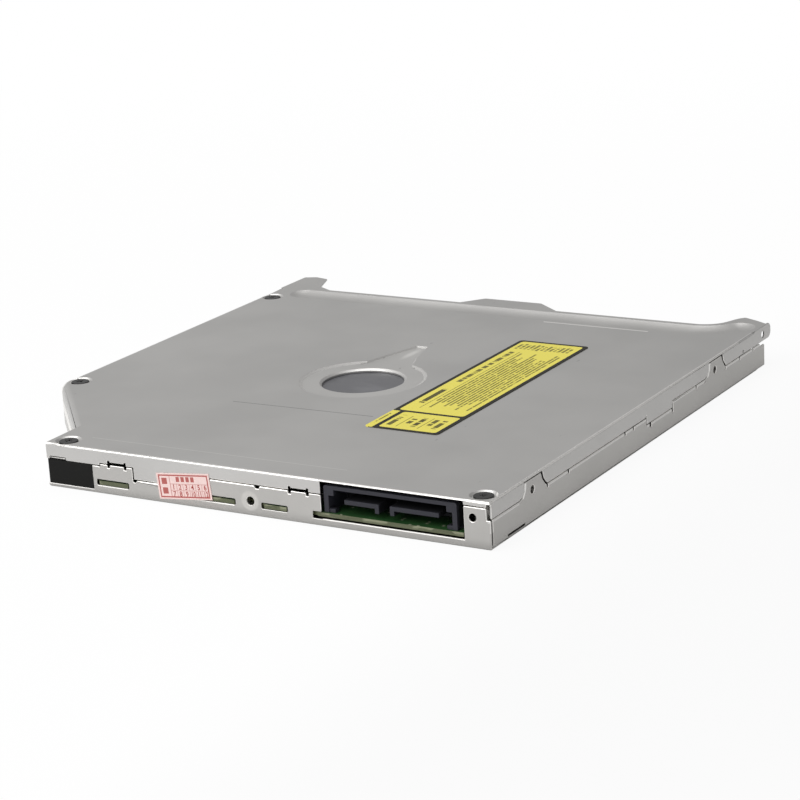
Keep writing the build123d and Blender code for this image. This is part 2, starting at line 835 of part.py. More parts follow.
with BuildPart() as board_screws:
    for x, d in board_screw_spots:
        post(Plane.XY, x, rear + d, 1.8, board_top, board_top + 0.6)
        post(Plane.XY, x, rear + d, 0.75, case_sheet + 0.5, board_top)
board_screws.part.label = "board_screws"

# Chips and flat-cable sockets on the board.
chip_spots = [(-4.0, 17.5, 6.0, 4.5, 0.9), (-20.0, 17.0, 4.5, 3.5, 0.8), (10.0, 9.0, 3.0, 2.0, 0.8)]
with BuildPart() as board_chips:
    for x, d, a, b, tall in chip_spots:
        block(
            Plane.XY, x - a, x + a, rear + d - b, rear + d + b, board_top, board_top + tall,
        )
board_chips.part.label = "board_chips"

socket_spots = [(-31.5, 21.5, 4.5, 1.6), (12.0, 20.5, 2.5, 1.6), (33.0, 11.6, 3.5, 1.3)]
with BuildPart() as cable_sockets:
    for x, d, a, b in socket_spots:
        block(Plane.XY, x - a, x + a, rear + d - b, rear + d + b, board_top, board_top + 1.1)
cable_sockets.part.label = "cable_sockets"

switch_spots = [(-9.5, 7.0), (-24.5, 7.5)]
with BuildPart() as detect_switches:
    for x, d in switch_spots:
        block(Plane.XY, x - 1.7, x + 1.7, rear + d - 1.2, rear + d + 1.2, board_top, board_top + 0.95)
detect_switches.part.label = "detect_switches"

# Connector housing: a shroud with two L-shaped tongues, all one moulding.
with BuildPart() as connector_housing:
    plug_back = plug_front + plug_depth
    room_back = plug_back - 1.4
    block(
        Plane.XY, plug_left, plug_right, rear + plug_front, rear + plug_back,
        board_top, plug_top,
    )
    outer = connector_housing.edges().filter_by(Axis.Y)
    fillet(outer.group_by(Axis.Z)[-1], 0.4)
    for wall, low, high in [
        (plug_wall, plug_step - 0.1, plug_top - plug_roof),
        (plug_thin_wall, board_top - 0.1, plug_step),
    ]:
        block(
            Plane.XY, plug_left + wall, plug_right - wall, rear + plug_front - 1, rear + room_back,
            low, high, Mode.SUBTRACT,
        )
    for x in (plug_left + 0.1, plug_right - 0.1 - plug_wall):
        block(
            Plane.XY, x, x + plug_wall, rear + plug_front + 0.2, rear + plug_front + 1.7,
            board_top, plug_foot,
        )
    tongue_start = rear + plug_front + 0.4
    tongue_low = tongue_top - tongue_sheet
    for x0, x1, leg in [
        (signal_left, signal_right, signal_right - tongue_sheet),
        (power_left, power_right, power_left),
    ]:
        block(Plane.XY, x0, x1, tongue_start, rear + room_back + 0.1, tongue_low, tongue_top)
        block(
            Plane.XY, leg, leg + tongue_sheet, tongue_start, rear + room_back + 0.1,
            tongue_foot, tongue_low + 0.1,
        )
connector_housing.part.label = "connector_housing"

# Contacts under the tongues, with tails on the board behind the housing.
signal_first = signal_left + 0.15
power_first = power_left + 2.0
contact_spots = [signal_first + contact_pitch * i for i in range(7)]
contact_spots += [power_first + contact_pitch * i for i in range(6)]
with BuildPart() as connector_contacts:
    for x in contact_spots:
        block(
            Plane.XY, x, x + contact_width, tongue_start + contact_back, rear + room_back,
            tongue_low - contact_sheet, tongue_low,
        )
        block(
            Plane.XY, x, x + contact_width, rear + plug_back, rear + plug_back + 1.1,
            board_top, board_top + 0.3,
        )
connector_contacts.part.label = "connector_contacts"

# Axes of the traverse: X runs out from the hub along the pickup's way.
turn = radians(feed_turn)
tilt = radians(lift_angle)
feed_out = Vector(cos(turn), sin(turn), 0)
up = Vector(0, 0, 1)
feed_x = feed_out * cos(tilt) + up * sin(tilt)
feed_z = up * cos(tilt) - feed_out * sin(tilt)
pivot = Vector(hub_x, hub_y, 0) + feed_out * pivot_reach + up * pivot_level
feed_origin = pivot - feed_x * pivot_reach - feed_z * pivot_level
feed = Plane(origin=feed_origin, x_dir=feed_x, z_dir=feed_z)
level = Plane(origin=(hub_x, hub_y, 0), x_dir=feed_out, z_dir=(0, 0, 1))
across = Plane(origin=feed_origin, x_dir=feed.y_dir, z_dir=feed_x)  # local X across, local Y up

# Traverse frame: rim with the pickup's window, spindle ring, trunnions and cam pins.
with BuildPart() as traverse_frame:
    prism(
        feed,
        [
            (frame_near, frame_right + 6),
            (frame_near + 6, frame_right),
            (frame_far - 5, frame_right),
            (frame_far, -17.0),
            (frame_far, 17.0),
            (frame_far - 5, frame_left),
            (frame_near + 6, frame_left),
            (frame_near, frame_left - 6),
        ],
        frame_bottom,
        frame_top,
        rounding=1.5,
    )
    block(
        feed, window_near, window_far, window_screw_side, window_side,
        0, height, Mode.SUBTRACT,
    )
    block(
        feed, feed_motor_near - 0.3, window_near + 0.2, window_screw_side, screw_side + 3.0,
        0, height, Mode.SUBTRACT,
    )
    post(feed, 0, 0, spindle_hole, 0, height, Mode.SUBTRACT)
    post(feed, 0, 0, table_radius + 0.5, frame_top - 0.3, height, Mode.SUBTRACT)
    # A thinned web saves weight between the ribs.
    for u0, u1, v0, v1 in [(-17.5, -12.5, -12.0, 12.0), (-8.0, 11.0, 15.5, 20.0)]:
        block(feed, u0, u1, v0, v1, frame_top - 1.0, height, Mode.SUBTRACT)
    for side in (rod_side, -rod_side):
        post(across, side, rod_level, rod_radius + 0.01, rod_end_near, rod_end_far, Mode.SUBTRACT)
        for u0, u1 in [(rod_end_near, window_near + 0.1), (window_far - 0.1, rod_end_far)]:
            block(
                feed, u0, u1, side - rod_radius, side + rod_radius, rod_level, height,
                Mode.SUBTRACT,
            )
    post(
        across, screw_side, rod_level, 0.62, window_far - 0.1, window_far + 0.8,
        Mode.SUBTRACT,
    )
    block(
        feed, frame_far - 0.5, pivot_reach + 1.4, -trunnion_side, trunnion_side,
        frame_bottom + 0.1, frame_top - 0.1,
    )
    post(
        Plane(origin=pivot, x_dir=feed_x, z_dir=feed.y_dir),
        0,
        0,
        trunnion_radius,
        -trunnion_side - trunnion_length,
        trunnion_side + trunnion_length,
    )
    for v in cam_pin_spots:
        post(across, v, cam_pin_level, cam_pin_radius, slider_near - cam_wall - 0.3, frame_near + 1)
traverse_frame.part.label = "traverse_frame"

# Plastic blocks that carry the trunnions, and their screws through the floor.
with BuildPart() as hinge_supports:
    for side in (1, -1):
        v0 = trunnion_side + 0.3 if side > 0 else -trunnion_side - trunnion_length - 0.3
        v1 = v0 + trunnion_length
        block(level, pivot_reach - 2.0, pivot_reach + 2.0, v0, v1, case_sheet, pivot_level + 1.2)
    post(
        Plane(origin=pivot, x_dir=feed_out, z_dir=level.y_dir),
        0, 0, trunnion_radius + fit_play,
        -trunnion_side - trunnion_length - 0.1, trunnion_side + trunnion_length + 0.1,
        Mode.SUBTRACT,
    )
hinge_supports.part.label = "hinge_supports"

# Guide rods of the pickup, and the clips that hold them down.
with BuildPart() as guide_rods:
    for side in (rod_side, -rod_side):
        post(across, side, rod_level, rod_radius, rod_end_near + 0.05, rod_end_far - 0.05)
guide_rods.part.label = "guide_rods"

with BuildPart() as rod_clips:
    for side in (rod_side, -rod_side):
        for u0 in (rod_end_near - 2.0, window_far + 0.4):
            block(feed, u0, u0 + 2.6, side - 1.9, side + 1.9, frame_top, frame_top + 0.15)
rod_clips.part.label = "rod_clips"

# Pickup: a die-cast sled on two rods, with a pocket for the lens holder.
with BuildPart() as pickup_sled:
    near = lens_start - pickup_near
    far = lens_start + pickup_far
    prism(
        feed,
        [
            (near + 1.5, -pickup_half),
            (far, -pickup_half),
            (far, pickup_half),
            (near + 1.5, pickup_half),
            (near, pickup_half - 5),
            (near, -pickup_half + 5),
        ],
        pickup_bottom,
        pickup_top,
        rounding=0.4,
    )
    post(across, rod_side, rod_level, rod_radius + fit_play, 0, 60, Mode.SUBTRACT)
    post(across, -rod_side, rod_level, rod_radius + fit_play, 0, 60, Mode.SUBTRACT)
    block(
        feed, near - 1, far + 1, -pickup_half - 1, -rod_side,
        rod_level - rod_radius - fit_play, rod_level + rod_radius + fit_play, Mode.SUBTRACT,
    )
    block(
        feed, lens_start - 4.2, lens_start + 4.2, -7.5, 7.5, pickup_bottom + pocket_floor, height,
        Mode.SUBTRACT,
    )
    block(feed, near - 1, near + 2.4, -6, 6, pickup_top - 0.9, height, Mode.SUBTRACT)
pickup_sled.part.label = "pickup_sled"

with BuildPart() as pickup_shield:
    block(
        feed, lens_start - 6.2, lens_start + 4.8, -11, 11,
        pickup_top, pickup_top + shield_sheet,
    )
    block(
        feed, lens_start - 3.4, lens_start + 3.4, -6.6, 6.6, 0, height, Mode.SUBTRACT,
    )
pickup_shield.part.label = "pickup_shield"

holder_low = pickup_bottom + pocket_floor + focus_play + 0.1
holder_high = holder_low + holder_sheet
with BuildPart() as lens_holder:
    block(
        feed, lens_start - 2.9, lens_start + 2.9, -5.6, 5.6, holder_low, holder_high,
    )
    fillet(lens_holder.edges().filter_by(Axis(feed_origin, feed_z)), 0.6)
    post(feed, lens_start, 0, lens_radius - 0.5, 0, height, Mode.SUBTRACT)
lens_holder.part.label = "lens_holder"

with BuildPart() as lens:
    with BuildSketch(Plane(origin=feed.from_local_coords((lens_start, 0, 0)), x_dir=feed_x,
                           z_dir=-feed.y_dir)):
        with BuildLine():
            Line((0, holder_high), (lens_radius, holder_high))
            Line((lens_radius, holder_high), (lens_radius, holder_high + 0.15))
            Line((lens_radius, holder_high + 0.15), (lens_radius - 0.9, holder_high + lens_height))
            Line((lens_radius - 0.9, holder_high + lens_height), (0, holder_high + lens_height))
            Line((0, holder_high + lens_height), (0, holder_high))
        make_face()
    revolve(axis=Axis(feed.from_local_coords((lens_start, 0, 0)), feed_z))
lens.part.label = "lens"

# Follower between the sled and the feed screw.
with BuildPart() as screw_follower:
    block(
        feed, lens_start - 4.5, lens_start + 1.5, screw_side + screw_radius + 0.1, -pickup_half,
        rod_level - 0.9, rod_level + 0.9,
    )
screw_follower.part.label = "screw_follower"

with BuildPart() as feed_screw:
    post(across, screw_side, rod_level, screw_radius, feed_motor_far + 0.3, window_far - 0.3)
    post(across, screw_side, rod_level, 0.6, feed_motor_far - 0.6, window_far + 0.6)
feed_screw.part.label = "feed_screw"

with BuildPart() as feed_motor:
    with BuildSketch(across.offset(feed_motor_near)):
        with Locations((screw_side, rod_level)):
            Circle(feed_motor_half)
        with Locations((screw_side, rod_level)):
            Rectangle(2 * feed_motor_half, 2.2, mode=Mode.INTERSECT)
    extrude(amount=feed_motor_far - feed_motor_near)
    post(
        across, screw_side, rod_level, 0.66, feed_motor_far - 0.7, feed_motor_far + 0.1,
        Mode.SUBTRACT,
    )
feed_motor.part.label = "feed_motor"

# Spindle motor: base plate, wound stator, and the turntable that spins round it.
rotor_low = frame_bottom + 0.5
table_low = seat_level - table_sheet - 0.15
with BuildPart() as spindle_base:
    post(feed, 0, 0, spindle_hole, frame_bottom, frame_bottom + 0.35)
    post(feed, 0, 0, 2.4, frame_bottom + 0.3, frame_bottom + 1.6)
    post(feed, 0, 0, 1.1, frame_bottom + 0.35, height, Mode.SUBTRACT)
spindle_base.part.label = "spindle_base"

with BuildPart() as spindle_stator:
    post(feed, 0, 0, 4.6, rotor_low + 0.1, rotor_low + 1.2)
    for i in range(9):
        spoke = Plane(origin=feed_origin, x_dir=feed_x, z_dir=feed_z).rotated((0, 0, 40 * i))
        block(spoke, 4.0, 9.4, -0.7, 0.7, rotor_low + 0.3, rotor_low + 1.0)
        block(spoke, 8.4, 9.5, -1.9, 1.9, rotor_low + 0.3, rotor_low + 1.0)
    post(feed, 0, 0, 2.45, 0, height, Mode.SUBTRACT)
spindle_stator.part.label = "spindle_stator"

with BuildPart() as turntable:
    with BuildSketch(Plane(origin=feed_origin, x_dir=feed_x, z_dir=-feed.y_dir)):
        with BuildLine():
            Polyline(
                (0, frame_bottom + 0.5),
                (1.0, frame_bottom + 0.5),
                (1.0, table_low - 0.5),
                (rotor_radius - rotor_wall, table_low - 0.5),
                (rotor_radius - rotor_wall, rotor_low),
                (rotor_radius, rotor_low),
                (rotor_radius, table_low),
                (table_radius, table_low),
                (table_radius, table_low + table_sheet),
                (0, table_low + table_sheet),
                close=True,
            )
        make_face()
    revolve(axis=Axis(feed_origin, feed_z))
turntable.part.label = "turntable"

with BuildPart() as grip_ring:
    post(feed, 0, 0, table_radius - 0.2, table_low + table_sheet, seat_level)
    post(feed, 0, 0, ring_inner, 0, height, Mode.SUBTRACT)
grip_ring.part.label = "grip_ring"

# The centring hub, with three sprung claws in its slots.
with BuildPart() as centring_hub:
    with BuildSketch(Plane(origin=feed_origin, x_dir=feed_x, z_dir=-feed.y_dir)):
        with BuildLine():
            Polyline(
                (0, table_low + table_sheet),
                (centre_radius, table_low + table_sheet),
                (centre_radius, seat_level + centre_height * 0.5),
                (centre_radius - 0.8, seat_level + centre_height - 0.2),
                (centre_radius - 1.4, seat_level + centre_height),
                (0, seat_level + centre_height),
                close=True,
            )
        make_face()
    revolve(axis=Axis(feed_origin, feed_z))
    for i in range(claw_count):
        slot = feed.rotated((0, 0, 360 / claw_count * i))
        block(slot, 3.6, centre_radius + 1, -1.6, 1.6, seat_level + 0.1, height, Mode.SUBTRACT)
centring_hub.part.label = "centring_hub"

with BuildPart() as hub_claws:
    for i in range(claw_count):
        slot = feed.rotated((0, 0, 360 / claw_count * i))
        block(slot, 4.0, centre_radius + 0.1, -1.3, 1.3, seat_level + 0.1, seat_level + 1.3)
hub_claws.part.label = "hub_claws"

# Cam slider: a flat bar with a rack, and an upright wall whose slanted slots lift the pins.
slope = (pivot_reach - slider_near) * sin(tilt)
pin_rest = (feed.from_local_coords((slider_near - cam_wall / 2, 0, cam_pin_level))).Z
slot_half = cam_pin_radius + cam_pin_play
gear_b_u = slider_far - 0.6 - module * drive_pinion_teeth / 2
rack_line = gear_b_u + module * drive_pinion_teeth / 2
cam_plane = Plane(
    origin=level.from_local_coords((slider_near - cam_wall, 0, 0)),
    x_dir=level.y_dir,
    z_dir=level.x_dir,
)
with BuildPart() as cam_slider:
    block(
        level, slider_far + 0.6, slider_near, slider_right, slider_left,
        slider_floor, slider_floor + slider_sheet,
    )
    block(
        level, slider_near - cam_wall, slider_near, slider_right, slider_left,
        slider_floor, cam_top,
    )
    # Rack teeth stand on the far edge, one gap facing the pinion.
    block(
        level, rack_line + 0.6, rack_line + 2.2, slider_right, slider_left,
        slider_floor, rack_top - 0.1,
    )
    tooth_pitch = pi * module
    tooth_line = level.offset(slider_floor)
    with BuildSketch(tooth_line):
        for i in range(rack_teeth):
            v = tooth_pitch * (i + 0.5) - tooth_pitch * 22
            with BuildLine():
                Polyline(
                    (rack_line + 0.65, v - 0.55),
                    (rack_line - 0.4, v - 0.18),
                    (rack_line - 0.4, v + 0.18),
                    (rack_line + 0.65, v + 0.55),
                    close=True,
                )
            make_face()
    extrude(amount=rack_top - 0.1 - slider_floor)
    # Each slanted slot has the lift of the pin over the slider's travel.
    for v in cam_pin_spots:
        with BuildSketch(cam_plane.offset(-0.5)):
            with BuildLine():
                Polyline(
                    (v - slot_half, pin_rest - slot_half),
                    (v + slot_half, pin_rest - slot_half),
                    (v + slide_travel + slot_half, pin_rest + slope - slot_half),
                    (v + slide_travel + slot_half, pin_rest + slope + slot_half),
                    (v + slide_travel - slot_half, pin_rest + slope + slot_half),
                    (v - slot_half, pin_rest + slot_half),
                    close=True,
                )
            make_face()
        extrude(amount=cam_wall + 1, mode=Mode.SUBTRACT)
cam_slider.part.label = "cam_slider"


def gear_teeth(teeth, tooth_angle):
    """A gear's outline with straight-sided teeth, one of them pointing at an angle."""
    pitch = module * teeth / 2
    tip = pitch + 0.8 * module
    root = pitch - 1.2 * module
    step = 2 * pi / teeth
    points = []
    for i in range(teeth):
        middle = tooth_angle + step * i
        for radius, share in [(root, -0.34), (tip, -0.12), (tip, 0.12), (root, 0.34)]:
            angle = middle + step * share
            points.append((radius * cos(angle), radius * sin(angle)))
    with BuildLine() as teeth_line:
        Polyline(*points, close=True)
    make_face(teeth_line.edges())


def gear(plane, teeth, tooth_angle, z0, z1):
    """A toothed disc on a plane whose origin is the gear's centre."""
    with BuildSketch(plane.offset(z0)) as outline:
        gear_teeth(teeth, tooth_angle)
    extrude(outline.sketch, amount=z1 - z0)


gear_a_u = gear_b_u - module * (drive_gear_teeth + worm_pinion_teeth) / 2
gear_b = Plane(origin=level.from_local_coords((gear_b_u, 0, 0)), x_dir=level.x_dir, z_dir=(0, 0, 1))
gear_a = Plane(origin=level.from_local_coords((gear_a_u, 0, 0)), x_dir=level.x_dir, z_dir=(0, 0, 1))
low_gear = rack_top + gear_gap
mid_gear = low_gear + gear_sheet + gear_gap
high_gear = mid_gear + gear_sheet

# Reduction gear: a pinion on the rack under a large gear.
with BuildPart() as reduction_gear:
    gear(gear_b, drive_pinion_teeth, 0, slider_floor + 0.1, low_gear + 0.1)
    gear(gear_b, drive_gear_teeth, pi + pi / drive_gear_teeth, low_gear, low_gear + gear_sheet)
    post(gear_b, 0, 0, gear_bore, 0, height, Mode.SUBTRACT)
reduction_gear.part.label = "reduction_gear"

# Worm wheel with the pinion that drives the large gear.
with BuildPart() as worm_wheel:
    gear(gear_a, worm_pinion_teeth, 0, low_gear, mid_gear + 0.1)
    gear(gear_a, worm_wheel_teeth, 0, mid_gear, high_gear)
    post(gear_a, 0, 0, gear_bore, 0, height, Mode.SUBTRACT)
worm_wheel.part.label = "worm_wheel"

# Studs riveted to the floor carry the gears, with a flat head over each.
with BuildPart() as gear_studs:
    post(gear_b, 0, 0, stud_radius, case_sheet, low_gear + gear_sheet + 0.1)
    post(gear_b, 0, 0, stud_head, low_gear + gear_sheet + 0.1, low_gear + gear_sheet + 0.5)
    post(gear_a, 0, 0, stud_radius, case_sheet, high_gear + 0.1)
    post(gear_a, 0, 0, stud_head, high_gear + 0.1, high_gear + 0.45)
gear_studs.part.label = "gear_studs"

# Loading motor, lying along X behind the disc, with the worm on its shaft.
wheel_centre = gear_a.origin
worm_level = (mid_gear + high_gear) / 2
worm_y = wheel_centre.Y - module * worm_wheel_teeth / 2 - worm_radius
worm_start = wheel_centre.X - worm_length / 2
motor_start = worm_start + worm_length + 1.6
shaft = Plane(origin=(0, worm_y, worm_level), x_dir=(0, 1, 0), z_dir=(1, 0, 0))
with BuildPart() as worm:
    post(shaft, 0, 0, worm_core, worm_start, worm_start + worm_length)
    post(shaft, 0, 0, worm_core + 0.3, worm_start + worm_length - 0.8, worm_start + worm_length)
    post(shaft, 0, 0, 0.4, worm_start - 0.8, motor_start + 1.0)
worm.part.label = "worm"

with BuildPart() as loading_motor:
    with BuildSketch(shaft.offset(motor_start)):
        Circle(motor_radius)
    extrude(amount=motor_length)
    post(shaft, 0, 0, 1.1, motor_start - 0.5, motor_start)
    post(shaft, 0, 0, 0.46, motor_start - 1, motor_start + 1.2, Mode.SUBTRACT)
loading_motor.part.label = "loading_motor"

with BuildPart() as motor_cradle:
    y0 = worm_y - motor_radius - 0.7
    y1 = worm_y + motor_radius + 0.7
    for x in (motor_start + 2.5, motor_start + motor_length - 4.5):
        block(Plane.XY, x, x + 2, y0, y1, case_sheet, worm_level)
    post(shaft, 0, 0, motor_radius + 0.02, motor_start - 1, motor_start + 20, Mode.SUBTRACT)
motor_cradle.part.label = "motor_cradle"


def lever(pivot_spot, tip_spot, wide):
    """A pressed disc lever: rounded arm with a bored pivot and a bored tip."""
    x0, y0 = place(*pivot_spot)
    x1, y1 = place(*tip_spot)
    angle = atan2(y1 - y0, x1 - x0)
    span = ((x1 - x0) ** 2 + (y1 - y0) ** 2) ** 0.5
    plane = Plane(origin=(x0, y0, 0), x_dir=(cos(angle), sin(angle), 0), z_dir=(0, 0, 1))
    post(plane, 0, 0, wide, lever_bottom, lever_bottom + lever_sheet)
    post(plane, span, 0, 1.5, lever_bottom, lever_bottom + lever_sheet)
    prism(
        plane,
        [(0, -wide), (span, -1.3), (span, 1.3), (0, wide)],
        lever_bottom,
        lever_bottom + lever_sheet,
    )
    post(plane, 0, 0, stud_radius + fit_play, 0, height, Mode.SUBTRACT)
    post(plane, span, 0, 0.55, 0, height, Mode.SUBTRACT)


with BuildPart() as rear_lever:
    lever(rear_lever_pivot, rear_lever_tip, 3.0)
rear_lever.part.label = "rear_lever"

with BuildPart() as side_lever:
    lever(side_lever_pivot, side_lever_tip, 2.8)
side_lever.part.label = "side_lever"


def guide_post(tip_spot):
    """A plastic post that meets the disc's edge, riveted into the lever's tip."""
    x, y = place(*tip_spot)
    post(Plane.XY, x, y, 0.55, lever_bottom, lever_bottom + lever_sheet)
    post(Plane.XY, x, y, guide_post_radius, lever_bottom + lever_sheet, guide_post_top)


with BuildPart() as rear_lever_post:
    guide_post(rear_lever_tip)
rear_lever_post.part.label = "rear_lever_post"

with BuildPart() as side_lever_post:
    guide_post(side_lever_tip)
side_lever_post.part.label = "side_lever_post"

# Studs of the two levers, with a shoulder under each arm and a riveted head over it.
with BuildPart() as lever_studs:
    for spot in (rear_lever_pivot, side_lever_pivot):
        x, y = place(*spot)
        post(Plane.XY, x, y, stud_radius, case_sheet, lever_bottom + lever_sheet)
        post(Plane.XY, x, y, stud_head, lever_bottom + lever_sheet + 0.02, cam_top)
        post(Plane.XY, x, y, stud_radius, lever_bottom, cam_top)
lever_studs.part.label = "lever_studs"

# Coil springs round the studs, one under each lever.
with BuildPart() as lever_springs:
    for spot in (rear_lever_pivot, side_lever_pivot):
        x, y = place(*spot)
        post(Plane.XY, x, y, 2.0, board_top + 0.1, lever_bottom - 0.05)
        post(Plane.XY, x, y, stud_radius + 0.2, 0, height, Mode.SUBTRACT)
lever_springs.part.label = "lever_springs"

# Front guide across the slot, with a sloped lead-in, and a strip along the left wall.
with BuildPart() as front_guide:
    with BuildSketch(Plane.YZ.offset(-half + guide_inset)):
        with BuildLine():
            Polyline(
                (rear + guide_start, case_sheet),
                (rear + guide_start + 0.5, case_sheet),
                (rear + guide_start + 0.5, lip_rise + case_sheet),
                (rear + case_front - 0.6, lip_rise + case_sheet),
                (rear + case_front - 0.6, guide_top - 1.6),
                (rear + case_front - 2.4, guide_top),
                (rear + guide_start + 1.4, guide_top),
                (rear + guide_start, guide_top - 1.0),
                close=True,
            )
        make_face()
    extrude(amount=width - 2 * guide_inset)
front_guide.part.label = "front_guide"

with BuildPart() as side_guide:
    block(
        Plane.XY, -half + case_sheet + 0.1, -half + case_sheet + side_guide_width,
        rear + 46, rear + 70, case_sheet, cam_top,
    )
side_guide.part.label = "side_guide"

# Flat cable on the floor, from the board's edge to under the traverse.
with BuildPart() as pickup_cable:
    block(
        Plane.XY, -36.0, -28.0, rear + 24.0, rear + 72.0, case_sheet, case_sheet + 0.12,
    )
pickup_cable.part.label = "pickup_cable"

pieces = [
    top_cover, hub_film, cover_screws, bottom_case, corner_block, top_label, date_sticker,
    main_board, board_standoffs, board_screws, board_chips, cable_sockets, detect_switches,
    connector_housing, connector_contacts, traverse_frame, hinge_supports, guide_rods,
    rod_clips, pickup_sled, pickup_shield, lens_holder, lens, screw_follower, feed_screw,
    feed_motor, spindle_base, spindle_stator, turntable, grip_ring, centring_hub, hub_claws,
    cam_slider, reduction_gear, worm_wheel, gear_studs, worm, loading_motor, motor_cradle,
    rear_lever, side_lever, rear_lever_post, side_lever_post, lever_studs, lever_springs,
    front_guide, side_guide, pickup_cable,
]
for piece in pieces:
    export_step(piece.part, f"parts/{piece.part.label}.step")
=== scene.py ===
# %% [markdown]
# A slim disc drive is a flat box of pressed steel, so nearly everything that the eye meets
# is sheet metal: a wide satin top, folded edges that catch the light, and a rear wall full of
# small cut-outs. The measured model is loaded first, and all that follows dresses it.

# %% Load the measured model
import json

import bmesh
import bpy
import numpy as np
from mathutils import Matrix, Vector
from mathutils.bvhtree import BVHTree

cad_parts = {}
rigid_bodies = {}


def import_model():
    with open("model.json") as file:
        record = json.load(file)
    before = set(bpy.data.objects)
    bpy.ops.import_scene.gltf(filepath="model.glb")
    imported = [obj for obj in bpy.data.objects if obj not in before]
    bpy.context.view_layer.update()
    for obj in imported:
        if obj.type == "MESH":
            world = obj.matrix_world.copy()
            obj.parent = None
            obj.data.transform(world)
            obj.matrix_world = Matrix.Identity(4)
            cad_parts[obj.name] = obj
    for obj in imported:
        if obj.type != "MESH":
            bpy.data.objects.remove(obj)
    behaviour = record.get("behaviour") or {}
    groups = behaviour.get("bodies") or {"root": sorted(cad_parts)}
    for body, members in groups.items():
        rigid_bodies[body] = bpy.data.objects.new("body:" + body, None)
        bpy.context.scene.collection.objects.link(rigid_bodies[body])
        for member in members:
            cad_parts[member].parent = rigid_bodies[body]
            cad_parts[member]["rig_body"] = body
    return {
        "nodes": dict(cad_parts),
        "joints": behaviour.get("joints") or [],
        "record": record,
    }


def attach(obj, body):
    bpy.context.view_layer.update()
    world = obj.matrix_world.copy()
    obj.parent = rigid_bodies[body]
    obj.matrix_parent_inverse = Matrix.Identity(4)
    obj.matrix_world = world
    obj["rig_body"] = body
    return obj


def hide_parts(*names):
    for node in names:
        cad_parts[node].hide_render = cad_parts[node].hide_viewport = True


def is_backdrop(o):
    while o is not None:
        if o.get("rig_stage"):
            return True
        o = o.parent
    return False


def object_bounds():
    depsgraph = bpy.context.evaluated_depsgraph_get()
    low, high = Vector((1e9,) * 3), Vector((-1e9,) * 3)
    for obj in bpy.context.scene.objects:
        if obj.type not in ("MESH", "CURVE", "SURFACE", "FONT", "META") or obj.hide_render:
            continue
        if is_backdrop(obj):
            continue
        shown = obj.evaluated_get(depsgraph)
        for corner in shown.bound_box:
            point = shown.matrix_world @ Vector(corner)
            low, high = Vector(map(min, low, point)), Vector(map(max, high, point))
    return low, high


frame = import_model()
nodes = frame["nodes"]
cad_low, cad_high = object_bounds()
MM = 0.001
REAR = -68.75  # Y of the rear wall in millimetres
print("nodes", len(nodes), "box", [round(v * 1000, 2) for v in cad_high - cad_low])


# %% [markdown]
# The camera is set from angles rather than aimed by hand. Its azimuth, elevation and roll give
# three axes, and the view's offset and distance place it along them. A long lens far away
# keeps the drive's sides nearly parallel, as in a product photograph.

# %% Place the camera
AZIMUTH, ELEVATION, ROLL = np.radians([31.4228, 16.6545, -3.3289])
FOCAL_PIXELS, PHOTO_WIDTH, SENSOR = 2492.8085, 800, 36.0
VIEW_OFFSET = np.array([5.9554, 4.2193, 544.686])  # millimetres to the right, up and back
CASE_MIDDLE = np.array([0, -5.25, 0])  # the middle of the case without its front ears


def camera_axes(azimuth, elevation, roll):
    """Right, up and back: back follows the two angles, and the other two roll about it."""
    back = np.array(
        [np.sin(azimuth) * np.cos(elevation), -np.cos(azimuth) * np.cos(elevation), np.sin(elevation)]
    )
    right = np.array([np.cos(azimuth), np.sin(azimuth), 0.0])
    up = np.cross(back, right)
    return (
        np.cos(roll) * right + np.sin(roll) * up,
        np.cos(roll) * up - np.sin(roll) * right,
        back,
    )


axes = np.array(camera_axes(AZIMUTH, ELEVATION, ROLL))
camera_data = bpy.data.cameras.new("camera")
camera_data.sensor_width = SENSOR
camera_data.lens = FOCAL_PIXELS * SENSOR / PHOTO_WIDTH
camera_data.clip_start, camera_data.clip_end = 0.01, 20
camera = bpy.data.objects.new("camera", camera_data)
bpy.context.scene.collection.objects.link(camera)
bpy.context.scene.camera = camera
camera_spot = VIEW_OFFSET @ axes + CASE_MIDDLE
camera.matrix_world = Matrix.Translation(camera_spot * MM) @ Matrix(axes.T.tolist()).to_4x4()
print("camera at", np.round(camera_spot, 1), "lens", round(camera_data.lens, 2))


# %% [markdown]
# Shader patterns are sums, products and comparisons, so they read best as Python. A small class
# wraps a socket and turns each operator into a Math node. Every other node comes from one method.

# %% Shader maths
class Value:
    """A number on a socket, with operators that add Math nodes."""

    def __init__(self, finish, socket):
        self.finish, self.socket = finish, socket

    def do(self, operation, *others):
        return self.finish.node("ShaderNodeMath", {"operation": operation}, [self, *others])

    def __add__(self, other):
        return self.do("ADD", other)

    __radd__ = __add__

    def __mul__(self, other):
        return self.do("MULTIPLY", other)

    __rmul__ = __mul__

    def __sub__(self, other):
        return self.do("SUBTRACT", other)

    def __rsub__(self, other):
        return self * -1 + other

    def __truediv__(self, other):
        return self.do("DIVIDE", other)

    def __gt__(self, other):
        return self.do("GREATER_THAN", other)

    def __lt__(self, other):
        return self.do("LESS_THAN", other)

    def __abs__(self):
        return self.do("ABSOLUTE")

    def floor(self):
        return self.do("FLOOR")

    def part(self):
        return self.do("FRACT")

    def least(self, other):
        return self.do("MINIMUM", other)

    def most(self, other):
        return self.do("MAXIMUM", other)

    def ramp(self, low, high):
        """Rises smoothly from 0 at low to 1 at high."""
        settings = {"interpolation_type": "SMOOTHSTEP"}
        return self.finish.node("ShaderNodeMapRange", settings, {0: self, 1: low, 2: high})


